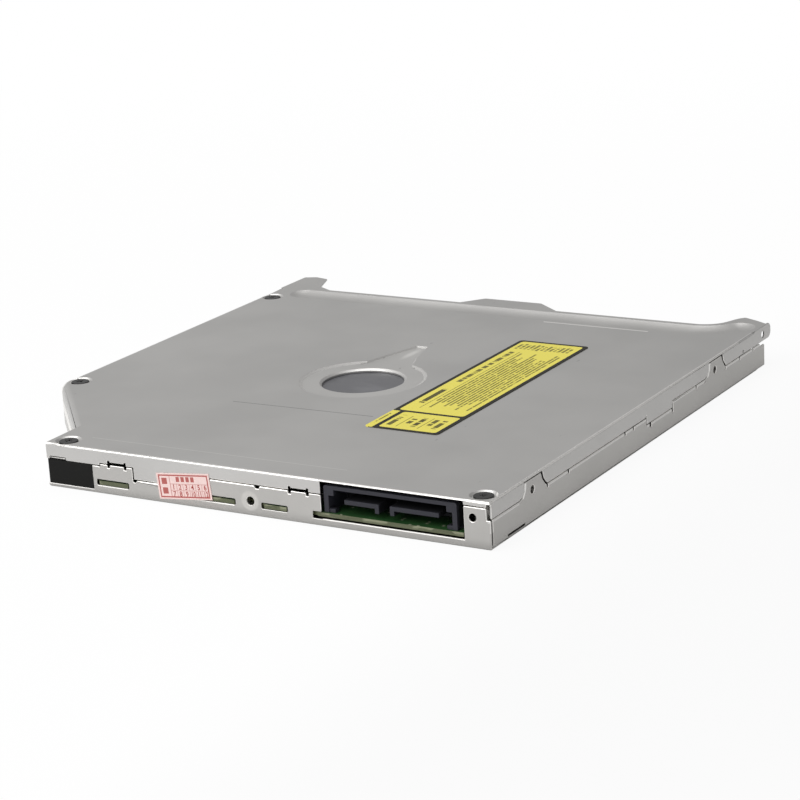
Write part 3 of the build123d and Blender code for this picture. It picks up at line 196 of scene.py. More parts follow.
class Finish:
    """One material or world: its coordinates, its patterns and its surface."""

    def __init__(self, name, holders=bpy.data.materials):
        self.material = holders.new(name)
        self.material.use_nodes = True
        self.tree = self.material.node_tree
        self.tree.nodes.clear()
        coordinates = self.tree.nodes.new("ShaderNodeTexCoord")
        self.object, self.normal, self.direction = [
            Value(self, coordinates.outputs[name]) for name in ("Object", "Normal", "Generated")
        ]

    def node(self, kind, settings=None, sockets=None, output=0):
        """Adds a node, sets its settings first and its sockets next, and returns one output."""
        made = self.tree.nodes.new(kind)
        for key, value in (settings or {}).items():
            setattr(made, key, value)
        pairs = enumerate(sockets) if isinstance(sockets, list) else (sockets or {}).items()
        for key, value in pairs:
            if isinstance(value, Value):
                self.tree.links.new(value.socket, made.inputs[key])
            else:
                made.inputs[key].default_value = value
        return Value(self, made.outputs[output])

    def split(self, vector, scale):
        """The three numbers of a vector, each times a scale."""
        kind = "ShaderNodeSeparateXYZ"
        return [self.node(kind, None, {0: vector}, i) * scale for i in range(3)]

    def place(self):
        """X, Y and Z of the surface point in millimetres, Y counted from the rear wall."""
        x, y, z = self.split(self.object, 1000)
        return x, y - REAR, z

    def noise(self, size, stretch=(1, 1, 1), detail=2.0):
        """Soft noise from 0 to 1 whose blots are about size millimetres, longer where stretched."""
        scale = [1000 / size / s for s in stretch]
        point = self.node("ShaderNodeVectorMath", {"operation": "MULTIPLY"}, [self.object, scale])
        return self.node("ShaderNodeTexNoise", None, {"Vector": point, "Scale": 1.0, "Detail": detail})

    def chance(self, *numbers):
        """A random number from 0 to 1 that depends on up to three whole numbers."""
        point = self.node("ShaderNodeCombineXYZ", None, list(numbers))
        return self.node("ShaderNodeTexWhiteNoise", None, {"Vector": point})

    def mix(self, share, first, second):
        """The first colour where share is 0 and the second where it is 1."""
        first, second = [c if isinstance(c, Value) else (*c, 1) for c in (first, second)]
        return self.node("ShaderNodeMix", {"data_type": "RGBA"}, {0: share, 6: first, 7: second}, 2)

    def bump(self, height, depth, strength=1.0):
        """A surface direction that follows a height from 0 to 1 over a depth in millimetres."""
        values = {"Height": height, "Distance": depth * MM, "Strength": strength}
        return self.node("ShaderNodeBump", None, values)

    def surface(self, colour, roughness, normal=None, **fixed):
        """Ends the tree in a Principled surface; fixed sockets are named with underscores."""
        sockets = {key.replace("_", " "): value for key, value in fixed.items()}
        sockets["Base Color"] = colour if isinstance(colour, Value) else (*colour, 1)
        sockets["Roughness"] = roughness
        if normal:
            sockets["Normal"] = normal
        self.end_in(self.node("ShaderNodeBsdfPrincipled", None, sockets))
        return self.material

    def end_in(self, shader, kind="ShaderNodeOutputMaterial"):
        """Links a shader to the tree's output."""
        self.tree.links.new(shader.socket, self.tree.nodes.new(kind).inputs["Surface"])


def between(value, low, high):
    """1 where a value lies between two limits and 0 elsewhere."""
    return (value > low) * (value < high)


def box_mask(x, y, x0, x1, y0, y1):
    """1 inside a rectangle and 0 outside: the product of two bands."""
    return between(x, x0, x1) * between(y, y0, y1)


def rounded_mask(x, y, x0, x1, y0, y1, radius):
    """1 inside a rectangle with round corners: the distance to a smaller rectangle is compared."""
    out_x = (abs(x - (x0 + x1) / 2) - ((x1 - x0) / 2 - radius)).most(0)
    out_y = (abs(y - (y0 + y1) / 2) - ((y1 - y0) / 2 - radius)).most(0)
    return (out_x * out_x + out_y * out_y).do("SQRT") < radius


def distance(x, y, x0, y0):
    """Distance in a plane from a point: the root of the two squared differences."""
    return ((x - x0) * (x - x0) + (y - y0) * (y - y0)).do("SQRT")


def line_mask(x, y, x0, y0, x1, y1, half):
    """1 within half a line's width of the segment from one point to the other, along X."""
    slope = (y1 - y0) / (x1 - x0)
    return (abs(y - ((x - x0) * slope + y0)) < half) * between(x, x0, x1)


# %% [markdown]
# The case is zinc-plated steel sheet. Plating gives a satin grey with a very fine grain and
# broad, faint clouds. Metal takes its look from what it mirrors, so the grain goes into a
# shallow bump and the clouds into colour and roughness, a few percent each. Cut and bent edges
# get a painted highlight in their colour, and the surface direction finds them.

# %% Pressed steel
COVER_GREY, CASE_GREY = (0.56, 0.552, 0.538), (0.50, 0.49, 0.472)
# The colour of the painted highlight on cut and bent edges.
EDGE_HIGHLIGHT = (0.96, 0.94, 0.91)


def pressed_steel(name, base, marks):
    """Satin plated sheet; marks adds this piece's own lines, painted shade and painted highlights, and
    says where it is rougher.
    """
    steel = Finish(name)
    clouds = steel.noise(22, detail=3)
    grain = steel.noise(0.22, detail=3)
    share = clouds.ramp(0.3, 0.7) * 0.75 + grain * 0.25
    dark, light = [tuple(c * k for c in base) for k in (0.955, 1.045)]
    colour, rougher = marks(steel, steel.mix(share, dark, light))
    rough = clouds * 0.06 + grain * 0.07 + 0.34 + rougher * 0.2
    return steel.surface(colour, rough, steel.bump(grain, 0.003, 0.4), Metallic=1.0)


def painted_edge_highlight(steel, share, colour):
    """Painted edge highlight: brightens what faces along no axis, by 1 less a smooth ramp of the
    direction's largest part.
    """
    x, y, z = [abs(number) for number in steel.split(steel.normal, 1)]
    edge = 1 - x.most(y).most(z).ramp(0.9, 0.975)
    return steel.mix(edge * share, colour, EDGE_HIGHLIGHT)


# %% [markdown]
# Each sheet carries marks of its own. The cover has two bright scribes, a dark scratch and a
# sunk ring with an arm, with painted shade on its slopes, a painted highlight streak on the arm
# and painted highlights on its bends and right rim. The case has a lighter ring painted round its
# rear hole for its dimple, painted shade low on its rear wall and painted highlights on its right
# wall.

# %% Marks on the two sheets
# All in millimetres. A line is X and Y of its start, X and Y of its end, and half its width.
BRIGHT_LINE = (14.6, 117.3, 41.2, 117.3, 0.28)
REAR_LINE = (-32, 6.2, 29, 6.9, 0.08)
DARK_LINE = (-18.8, 38.0, 15.5, 39.0, 0.12)
HUB_X, HUB_D, HUB_REACH = -1.0, 62.1, 30  # the hub opening, and how far its ring and arm go
SUNK_LOW, SUNK_HIGH, RING_TOP, TOP_LEVEL = 8.9, 9.45, 9.15, 9.0
# The streak on the arm is a painted highlight.
ARM_X, ARM_D, ARM_SQUEEZE = -1.6, 84, 0.22  # the streak on the arm is long because Y is squeezed
WINDOW = (26.5, 58.5)  # the rear wall's opening for the plug
COVER_SIDE, COVER_REAR, COVER_FRONT = 62.4, 1.3, 116  # where the cover's side and rear bends lie
RIM_SIDE, RIM_FRONT = 63.5, 124  # the cover's outermost edge on the right
WALL_REAR, WALL_SIDE = 0.3, 63.4  # the case's rear wall ends here in Y, its right wall starts in X
HOLE_X, HOLE_Z = 10.43, 3.14  # the drawn hole in the rear wall
SEAM, DIP, DIP_DEPTH = 5.9, (67.8, 80.4), 1.5  # the right wall's seam, and where it runs lower
TABS = ((11.4, 22.8), (97.2, 108.6))  # the right wall's flush tabs, from start to end
TAB_WIDE, TAB_TALL, TAB_LEVEL = 2.55, 3.0, 8.9  # the quarter ellipse in which a tab starts
# Below the second height the case's painted edge highlight is weaker.
TAB_FOOT, WEAK_HIGHLIGHT_BELOW = 6.0, 3.4  # the ellipse's lowest point, and where the case's edges turn dull


def cover_marks(steel, colour):
    """Scribes and specks on the flat top, a lighter sunk ring with painted shade on its slopes and a
    painted highlight streak on its arm, and painted highlights on the bends and the right rim.
    """
    x, d, z = steel.place()
    top = z > TOP_LEVEL
    pressed = between(z, SUNK_LOW, SUNK_HIGH) * (distance(x, d, HUB_X, HUB_D) < HUB_REACH)
    slope = pressed * (z > RING_TOP + 0.03)
    # Painted shade: the slopes of the sunk ring and arm are darkened to tone down their highlight.
    colour = steel.mix(slope * 0.14, colour, (0.2, 0.2, 0.2))
    from_arm = distance(x, d * ARM_SQUEEZE, ARM_X, ARM_D * ARM_SQUEEZE)
    lines = line_mask(x, d, *BRIGHT_LINE) + line_mask(x, d, *REAR_LINE) * 0.5
    # The scribes are real lines on the top; the arm's streak is a painted highlight.
    light = lines * top + (1 - from_arm.ramp(0.2, 1.3)) * pressed * 0.5
    colour = steel.mix(light.least(1), colour, (0.9, 0.885, 0.86))
    speck = steel.noise(1.3, (1, 2.4, 1), 1) > 0.8
    dark = line_mask(x, d, *DARK_LINE) * 0.75 + speck * 0.25
    colour = steel.mix(dark * top, colour, (0.14, 0.14, 0.14))
    # Painted highlight along the cover's bends, weaker over the window.
    rear_bend_highlight = (d < COVER_REAR) * (1 - between(x, *WINDOW) * 0.6)
    bend_highlight = (abs(x) > COVER_SIDE).most(rear_bend_highlight) * (d < COVER_FRONT)
    # Painted highlight along the cover's outermost right edge.
    rim_highlight = (x > RIM_SIDE) * (z > RING_TOP) * (d < RIM_FRONT)
    colour = steel.mix(rim_highlight * 0.55, colour, (0.9, 0.89, 0.87))
    return painted_edge_highlight(steel, bend_highlight, colour), pressed * 0.4 + slope * 1.4


def case_marks(steel, colour):
    """A lighter ring painted round the rear hole for its dimple, painted shade low on the rear wall,
    and painted highlights on the right wall's seam and tab edges.
    """
    x, d, z = steel.place()
    # Painted shade: the rear wall grows darker towards the floor.
    wall_low_shade = (1 - z.ramp(0.2, 2.4)) * (d < WALL_REAR)
    colour = steel.mix(wall_low_shade * 0.5, colour, tuple(c * 0.6 for c in CASE_GREY))
    # A lighter ring is painted round the hole: a painted highlight for the light on its pressed
    # dimple.
    ring = (1 - distance(x, z, HOLE_X, HOLE_Z).ramp(1.7, 2.25)) * (d < WALL_REAR)
    colour = steel.mix(ring, colour, tuple(c * 1.2 for c in CASE_GREY))
    # A tab starts in a round edge, a circle once Y and Z are divided by its two half widths.
    wide, tall = d / TAB_WIDE, z / TAB_TALL
    from_tab = [distance(wide, tall, start / TAB_WIDE, TAB_LEVEL / TAB_TALL) for start, _ in TABS]
    # Painted highlight: the tab's round edge and a band under the seam are lightened on the right
    # wall.
    round_edge_highlight = (from_tab[0].least(from_tab[1]) < 1.2) * (z > TAB_FOOT)
    below = SEAM - z - between(d, *DIP) * DIP_DEPTH
    seam = between(below, -0.05, 0.5) * (1 - between(d, *TABS[0]) - between(d, *TABS[1])) * 0.4
    colour = steel.mix(round_edge_highlight.most(seam) * (x > WALL_SIDE), colour, (0.97, 0.96, 0.94))
    # Painted edge highlight on the case, weaker low on the walls.
    return painted_edge_highlight(steel, (z > WEAK_HIGHLIGHT_BELOW) * 0.7 + 0.1, colour), ring


finishes = {
    "cover_steel": pressed_steel("cover_steel", COVER_GREY, cover_marks),
    "case_steel": pressed_steel("case_steel", CASE_GREY, case_marks),
}
print("sheet metal finishes", list(finishes))


# %% [markdown]
# The other metals differ in how they were made. A die-cast frame is matt and slightly pitted,
# turned or ground rods are bright with fine rings, plated stampings lie between, and black
# zinc is a dark coat that lets the edges shine.

# %% Other metals
def metal(name, base, rough, grain_size, depth, stretch=(1, 1, 1)):
    """Metal with one grain that moves its colour, roughness and surface direction together."""
    made = Finish(name)
    grain = made.noise(grain_size, stretch, 3)
    colour = made.mix(grain, tuple(c * 0.86 for c in base), tuple(min(1, c * 1.1) for c in base))
    return made.surface(colour, rough + (grain - 0.5) * 0.16, made.bump(grain, depth), Metallic=1.0)


# Each metal: colour, roughness, size of the grain, depth of the bump, and the grain's stretch.
METALS = {
    "plated_steel": ((0.66, 0.65, 0.62), 0.3, 0.35, 0.004, (1, 1, 1)),
    "polished_steel": ((0.78, 0.78, 0.79), 0.14, 0.12, 0.001, (1, 1, 1)),
    "spring_steel": ((0.52, 0.52, 0.53), 0.26, 0.3, 0.002, (1, 1, 1)),
    "cast_frame": ((0.42, 0.43, 0.44), 0.5, 0.5, 0.02, (1, 1, 1)),
    "cast_metal": ((0.36, 0.37, 0.385), 0.46, 0.4, 0.014, (1, 1, 1)),
    "motor_steel": ((0.6, 0.6, 0.6), 0.24, 0.4, 0.002, (6, 1, 1)),
    "brass_worm": ((0.72, 0.52, 0.22), 0.24, 0.2, 0.002, (1, 1, 1)),
    "gold_contact": ((0.83, 0.62, 0.26), 0.2, 0.3, 0.001, (1, 1, 1)),
    "copper_winding": ((0.72, 0.3, 0.13), 0.34, 0.25, 0.02, (1, 1, 0.3)),
    "black_screw": ((0.035, 0.034, 0.034), 0.34, 0.3, 0.004, (1, 1, 1)),
}
for name, values in METALS.items():
    finishes[name] = metal(name, *values)
print("metals", len(METALS))


# %% [markdown]
# Moulded plastic is dull because the mould was etched. The texture is a fine bump, and the gloss
# drifts a little where the melt met the wall. Rubber and the flat cable's film use the same
# recipe with other scales.

# %% Plastics, rubber and film
def moulded(name, base, rough, grain_size, depth, **fixed):
    """Plastic: grain in the bump, a slow drift in colour and in roughness."""
    made = Finish(name)
    grain, drift = made.noise(grain_size), made.noise(9)
    dark, light = [tuple(min(1, c * k) for c in base) for k in (0.88, 1.12)]
    colour = made.mix(drift * 0.7 + grain * 0.3, dark, light)
    return made.surface(colour, rough + (drift - 0.5) * 0.12, made.bump(grain, depth, 0.6), **fixed)


# Each plastic: colour, roughness, size of the grain, and depth of the bump.
PLASTICS = {
    "black_plastic": ((0.0075, 0.0075, 0.007), 0.55, 0.18, 0.008),
    "cream_plastic": ((0.70, 0.66, 0.56), 0.45, 0.2, 0.005),
    "white_plastic": ((0.80, 0.80, 0.77), 0.38, 0.3, 0.005),
    "black_chip": ((0.028, 0.028, 0.03), 0.55, 0.1, 0.006),
    "black_rubber": ((0.018, 0.018, 0.018), 0.8, 0.15, 0.01),
    "cable_film": ((0.50, 0.25, 0.06), 0.3, 0.8, 0.002),
}
for name, values in PLASTICS.items():
    finishes[name] = moulded(name, *values, Specular_IOR_Level=0.12 if "black" in name else 0.3)

# Painted shade in the connector's cavity: its inner faces are painted darker the deeper they lie.
CAVITY, MOUTH, CAVITY_SHADE_DEPTH = (28.5, 57.5, 3.4, 8.1), 1.05, 0.7
plug = Finish("connector_plastic")
x, d, z = plug.place()
depth = (d - MOUTH).ramp(0.0, CAVITY_SHADE_DEPTH) * box_mask(x, z, *CAVITY) * 0.85
outer = plug.mix(plug.noise(9), (0.022, 0.022, 0.03), (0.03, 0.03, 0.04))
colour = plug.mix(depth, outer, (0.004, 0.004, 0.005))
grain = plug.noise(0.2)
finishes["connector_plastic"] = plug.surface(
    colour, grain * 0.1 + 0.42 + depth * 0.3, plug.bump(grain, 0.005, 0.6), Specular_IOR_Level=0.3
)
print("plastics", len(PLASTICS) + 1)


# %% [markdown]
# Under the hub opening lies a smooth dark film. It mirrors the light softly and has a few pale
# smears, which a low-contrast noise gives better than any drawn shape.

# %% Dark film and the pickup's lens
film = Finish("dark_film")
smear = film.noise(5, (2.2, 1, 1), 3).ramp(0.5, 0.75)
film_colour = film.mix(smear * 0.7, (0.088, 0.088, 0.097), (0.17, 0.17, 0.18))
finishes["dark_film"] = film.surface(film_colour, 0.3 + smear * 0.12, Metallic=0.2)

glass = Finish("clear_lens")
tint = glass.noise(1.5)
glass_colour = glass.mix(tint, (0.55, 0.7, 0.95), (0.75, 0.65, 0.95))
finishes["clear_lens"] = glass.surface(
    glass_colour, 0.04 + tint * 0.02, IOR=1.5, Transmission_Weight=0.75, Coat_Weight=0.6
)
print("film and lens ready")


# %% [markdown]
# A circuit board shows green solder mask on its faces, and raw glass fibre with bits of cream
# print and solder on its cut edges. The object's own surface direction says which is which.

# %% Circuit board
PAD_PITCH = 0.9
board = Finish("green_board")
x, d, z = board.place()
tracks = ((x * 1.6).part() < 0.42) * ((d * 0.21).part() < 0.7)
flow = board.noise(3.5, (3, 1, 1), 1)
face_colour = board.mix(tracks * (flow > 0.45) * 0.5, (0.014, 0.055, 0.014), (0.035, 0.105, 0.026))
cell_x, cell_d = x / PAD_PITCH, d / PAD_PITCH
pads = board.chance(cell_x.floor(), cell_d.floor(), 1) > 0.93
pads = pads * box_mask(cell_x.part(), cell_d.part(), 0.2, 0.8, 0.2, 0.8)
face_colour = board.mix(pads * 0.7, face_colour, (0.36, 0.36, 0.27))
fibre = board.noise(0.5, (4, 4, 1), 2)
edge_colour = board.mix(fibre, (0.05, 0.06, 0.026), (0.115, 0.125, 0.06))
patch = board.noise(2.3, (2.2, 1, 1), 2).ramp(0.52, 0.6) * ((z > 2.35) + 0.3)
edge_colour = board.mix(patch.least(1) * 0.7, edge_colour, (0.27, 0.28, 0.18))
upright = abs(board.split(board.normal, 1)[2]) > 0.5
board_colour = board.mix(upright, edge_colour, face_colour)
finishes["green_board"] = board.surface(
    board_colour, 0.34 + fibre * 0.2, board.bump(tracks, 0.02, 0.4), Coat_Weight=0.15
)
print("board finish ready")


# %% [markdown]
# The yellow label is a sheet of film with a black frame, two rounded yellow fields and thin bars
# in rows. All of it is rectangles, so masks in millimetres draw it sharply at any distance.

# %% Printed label
YELLOW, INK = (0.70, 0.62, 0.108), (0.010, 0.009, 0.006)


def bar_rows(finish, x, d, row):
    """Rows of short bars along Y: X gives the row, and chance ends each row and drops bars."""
    first, pitch, rows, start, end, seed, gap, duty, drop, share = row
    step = (x - first) / pitch
    number = step.floor()
    stripe = (step.part() < duty) * between(step, 0, rows)
    begin = finish.chance(number, seed, 1) * (end - start) * 0.16 + start
    finish_at = finish.chance(number, seed, 2) * (start - end) * 0.22 + end
    bars = finish.chance((d / gap).floor(), number, seed) > drop
    return stripe * between(d, begin, finish_at) * bars * share


# Rectangles: X from and to, Y from and to, and for the yellow fields the corner's radius.
PANEL, CORNER_FIELD = (18.15, 33.5, 44.95, 100.2, 0.9), (20.1, 33.5, 33.35, 43.95, 0.7)
EDGE_STRIP = (17.2, 19.05, 32.5, 44.2)
RULES = [(23.4, 23.6, 34.6, 41.9), (28.4, 28.6, 34.6, 41.9), (21.6, 21.8, 47.5, 92.0)]
label = Finish("yellow_label")
x, d, _ = label.place()
yellow = rounded_mask(x, d, *PANEL).most(rounded_mask(x, d, *CORNER_FIELD))
yellow = yellow.most(box_mask(x, d, *EDGE_STRIP))
rules = box_mask(x, d, *RULES[0])
for rule in RULES[1:]:
    rules = rules.most(box_mask(x, d, *rule))
# Each group of rows: first X, pitch, rows, start and end of Y, seed, bar, duty, drop, darkness.
PRINT = [
    (17.75, 0.9, 1, 34.0, 43.5, 3, 0.3, 0.5, 0.25, 0.7),
    (20.9, 1.4, 1, 34.6, 43.0, 5, 0.45, 0.8, 0.3, 0.85),
    (24.3, 1.5, 1, 36.5, 43.0, 7, 0.4, 0.75, 0.25, 0.85),
    (26.3, 1.5, 1, 34.8, 43.0, 8, 0.4, 0.75, 0.15, 0.9),
    (29.2, 1.4, 1, 36.5, 42.6, 11, 0.4, 0.75, 0.25, 0.85),
    (31.1, 1.5, 1, 34.8, 42.8, 12, 0.4, 0.75, 0.15, 0.85),
    (19.5, 1.5, 1, 50.0, 64.0, 13, 0.4, 0.85, 0.2, 0.9),
    (19.5, 1.3, 1, 65.5, 93.0, 17, 0.4, 0.85, 0.3, 0.8),
    (22.4, 0.86, 12, 48.5, 93.5, 19, 0.28, 0.55, 0.1, 0.72),
    (19.0, 1.05, 13, 94.0, 98.9, 23, 0.28, 0.62, 0.2, 0.72),
]
bars = bar_rows(label, x, d, PRINT[0])
for row in PRINT[1:]:
    bars = bars.most(bar_rows(label, x, d, row))
fade = label.noise(14)
paper = label.mix(fade, tuple(c * 0.95 for c in YELLOW), tuple(min(1, c * 1.05) for c in YELLOW))
colour = label.mix(bars.most(rules * 0.75), paper, INK)
colour = label.mix(yellow, INK, colour)
grain = label.noise(0.3)
finishes["yellow_label"] = label.surface(
    colour, 0.45 + grain * 0.12, label.bump(grain, 0.002, 0.5), Specular_IOR_Level=0.2
)
print("label rows", sum(row[2] for row in PRINT))


# %% [markdown]
# The rear wall carries a small paper sticker with a red frame, plain blocks and a grid of twelve
# cells. All is drawn in the sticker's own tilted axes, which a turn of X and Z gives.

# %% Small sticker
STICKER_X, STICKER_Z, STICKER_TURN = -5.17, 4.2, np.radians(5.6)
FRAME_HALF, FRAME_HIGH, FRAME_LINE = 6.05, 2.4, 0.3
LINE = 0.075  # half the width of a thin line
CELL_LEFT, CELL_TOP, CELL_MIDDLE = -3.3, 0.45, -0.9
# Plain blocks stand in the two larger fields, two above each other and four in a row.
ROW_START, ROW_PITCH, ROW_FIELD = -1.9, 1.2, (-1.9, 2.9, 0.9, 1.95)
SIDE_BLOCKS = [(-5.3, -4.0, 0.4, 1.7), (-5.3, -4.0, -1.6, -0.3)]
sticker = Finish("white_sticker")
x, _, z = sticker.place()
x, z = x - STICKER_X, z - STICKER_Z
p = x * np.cos(STICKER_TURN) + z * np.sin(STICKER_TURN)
q = z * np.cos(STICKER_TURN) - x * np.sin(STICKER_TURN)
inside = (abs(p) < FRAME_HALF) * (abs(q) < FRAME_HIGH)
outer = inside - (abs(p) < FRAME_HALF - FRAME_LINE) * (abs(q) < FRAME_HIGH - FRAME_LINE)
upright_line = inside * (abs(p - CELL_LEFT) < LINE)
cell = (FRAME_HALF - FRAME_LINE / 2 - CELL_LEFT) / 6
grid_x = ((p - CELL_LEFT) / cell).part()
columns = inside * (abs(grid_x - 0.5) > 0.5 - LINE / cell) * (q < CELL_TOP) * (p > CELL_LEFT)
rows = inside * ((abs(q - CELL_TOP) < LINE) + (abs(q - CELL_MIDDLE) < LINE)) * (p > CELL_LEFT)
blocks = box_mask(p, q, *ROW_FIELD) * between(((p - ROW_START) / ROW_PITCH).part(), 0.12, 0.8)
for side_block in SIDE_BLOCKS:
    blocks = blocks + box_mask(p, q, *side_block)
red = (outer + upright_line * 0.8).most((columns + rows).least(1) * 0.5).most(blocks)
fibre = sticker.noise(0.5)
sheet = sticker.mix(fibre, (0.76, 0.575, 0.55), (0.82, 0.635, 0.605))
tinted = inside * (q < CELL_TOP) * (p > CELL_LEFT) * 0.05
sheet = sticker.mix(tinted, sheet, (0.62, 0.18, 0.15))
colour = sticker.mix(red.least(1) * 0.9, sheet, (0.38, 0.065, 0.055))
finishes["white_sticker"] = sticker.surface(
    colour, 0.5 + fibre * 0.1, sticker.bump(fibre, 0.003, 0.4), Specular_IOR_Level=0.2
)
ink = Finish("sticker_ink")
colour = ink.mix(ink.noise(0.4), (0.31, 0.035, 0.028), (0.40, 0.055, 0.045))
finishes["sticker_ink"] = ink.surface(colour, 0.5, Specular_IOR_Level=0.2)
print("sticker cell", round(cell, 2), "mm")


# %% [markdown]
# Twelve plain numbers stand in the sticker's cells, as on a calendar. Each is a text object
# turned into a mesh, because the finished piece has to keep its place in its own points. The
# paper is made anew, a hair thinner than measured, so that the ink stays within the real size.

# %% Numbers on the sticker and its paper
DIGIT_SIZE, ONE_DIGIT_WIDE, TWO_DIGITS_WIDE = 1.5, 0.9, 0.74
INK_LEVEL, PAPER_LEVEL = 0.1, 0.092  # how far ink and paper stand off the rear wall, in millimetres


def text_points(words, size):
    """The vertices and faces of flat text, centred on its own middle."""
    curve = bpy.data.curves.new("words", "FONT")
    curve.body, curve.size, curve.align_x, curve.align_y = words, size, "CENTER", "CENTER"
    curve.resolution_u, curve.offset = 3, 0.02  # the offset makes the strokes a little bolder
    holder = bpy.data.objects.new("words", curve)
    bpy.context.scene.collection.objects.link(holder)
    bpy.context.view_layer.update()
    mesh = bpy.data.meshes.new_from_object(holder.evaluated_get(bpy.context.evaluated_depsgraph_get()))
    points = np.array([v.co for v in mesh.vertices]).reshape(-1, 3)
    faces = [tuple(face.vertices) for face in mesh.polygons]
    bpy.data.objects.remove(holder)
    return points, faces


def node_points(node):
    """A measured piece's points in millimetres."""
    data = nodes[node].data
    flat = np.zeros(len(data.vertices) * 3)
    data.vertices.foreach_get("co", flat)
    return flat.reshape(-1, 3) * 1000


def new_piece(name, points, faces, body, slot, replaced=(), smooth=True):
    """Puts points in millimetres and faces into a piece that rides on a body."""
    mesh = bpy.data.meshes.new(name)
    mesh.from_pydata((np.asarray(points) * MM).tolist(), [], [tuple(f) for f in faces])
    mesh.validate()
    mesh.polygons.foreach_set("use_smooth", [smooth] * len(mesh.polygons))
    mesh.materials.append(finishes[slot])
    piece = bpy.data.objects.new(name, mesh)
    bpy.context.scene.collection.objects.link(piece)
    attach(piece, body)
    if replaced:
        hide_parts(*replaced)
    return piece


ALONG = np.array([np.cos(STICKER_TURN), 0, np.sin(STICKER_TURN)])  # along the sticker's rows
UP = np.array([-np.sin(STICKER_TURN), 0, np.cos(STICKER_TURN)])
all_points, all_faces, count = [], [], 0
for number in range(12):
    points, faces = text_points(str(number + 1), DIGIT_SIZE)
    narrow = ONE_DIGIT_WIDE if number < 9 else TWO_DIGITS_WIDE
    across = points[:, 0] * narrow + CELL_LEFT + cell * (number % 6 + 0.5)
    middle = (CELL_TOP + CELL_MIDDLE) / 2 if number < 6 else (CELL_MIDDLE - FRAME_HIGH) / 2
    high = points[:, 1] + middle
    spread = across[:, None] * ALONG + high[:, None] * UP
    all_points.append(spread + [STICKER_X, REAR - INK_LEVEL, STICKER_Z])
    all_faces += [[i + count for i in face] for face in faces]
    count += len(points)
numbers = new_piece("sticker_numbers", np.concatenate(all_points), all_faces, "base", "sticker_ink")

measured = node_points("date_sticker") - [STICKER_X, 0, STICKER_Z]
half_along, half_up = abs(measured @ ALONG).max(), abs(measured @ UP).max()
points = [
    [STICKER_X, depth, STICKER_Z] + i * half_along * ALONG + j * half_up * UP
    for depth in (REAR, REAR - PAPER_LEVEL) for i, j in ((-1, -1), (1, -1), (1, 1), (-1, 1))
]
faces = [(0, 3, 2, 1), (4, 5, 6, 7)] + [(i, (i + 1) % 4, (i + 1) % 4 + 4, i + 4) for i in range(4)]
paper = new_piece("sticker_paper", points, faces, "base", "white_sticker", ["date_sticker"], False)
print("number outlines", count, "points")


# %% [markdown]
# A machined or pressed edge is never perfectly sharp, and its tiny round is what draws the
# bright line round a real part. A merged copy of each measured piece gets a narrow bevel, and
# the copy stands in for the original.

# %% Fine edges on the measured pieces
SMOOTH, CREASE = 15, 60  # degrees: a bend below the first is round, below the second a crease
SAME_PLACE, SAME_PLANE = 2e-7, np.radians(0.1)  # metres and radians that count as none


def fine_edges(node, slot, width):
    """Copies a node, merges its points and bevels its sharp edges, a crease about a third as wide.

    Where small edges crowd, a bevel can throw a point off the part. Each point that ends up
    further from the measured surface than the bevel is wide goes back to that surface's
    nearest point.
    """
    source = nodes[node]
    work = bmesh.new()
    work.from_mesh(source.data)
    bmesh.ops.remove_doubles(work, verts=work.verts, dist=SAME_PLACE)
    bmesh.ops.dissolve_limit(work, angle_limit=SAME_PLANE, verts=work.verts, edges=work.edges)
    bmesh.ops.triangulate(work, faces=work.faces, ngon_method="BEAUTY")
    weights = work.edges.layers.float.new("bevel_weight_edge")
    for face in work.faces:
        face.smooth = True
    for edge in work.edges:
        angle = np.degrees(edge.calc_face_angle(0))
        edge.smooth = bool(angle < SMOOTH)
        edge[weights] = 0.0 if edge.smooth else 0.35 if angle < CREASE else 1.0
    surface = BVHTree.FromBMesh(work)
    mesh = bpy.data.meshes.new(node + "_sharp")
    work.to_mesh(mesh)
    work.free()
    sharp = bpy.data.objects.new(node + "_sharp", mesh)
    bpy.context.scene.collection.objects.link(sharp)
    bevel = sharp.modifiers.new("fine edge", "BEVEL")
    bevel.width, bevel.segments, bevel.limit_method = width * MM, 2, "WEIGHT"
    bevel.use_clamp_overlap, bevel.loop_slide, bevel.harden_normals = False, False, True
    weighted = sharp.modifiers.new("flat faces stay flat", "WEIGHTED_NORMAL")
    weighted.keep_sharp, weighted.weight = True, 90
    made = sharp.evaluated_get(bpy.context.evaluated_depsgraph_get())
    rounded = bpy.data.meshes.new_from_object(made)
    bpy.data.objects.remove(sharp)
    places = np.empty(len(rounded.vertices) * 3)
    rounded.vertices.foreach_get("co", places)
    places = places.reshape(-1, 3)
    found = [surface.find_nearest(place) for place in places]
    nearest, away = np.array([hit[0] for hit in found]), np.array([hit[3] for hit in found])
    stray = away > width * MM
    places[stray] = nearest[stray]
    measured = node_points(node) * MM
    places = np.clip(places, measured.min(0), measured.max(0))
    rounded.vertices.foreach_set("co", places.ravel())
    rounded.materials.clear()
    rounded.materials.append(finishes[slot])
    piece = bpy.data.objects.new(node + "_fine", rounded)
    bpy.context.scene.collection.objects.link(piece)
    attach(piece, source["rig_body"])
    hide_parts(node)
    return int(stray.sum())


slots = {part["node"]: part["material_slot"] for part in frame["record"]["subparts"]}
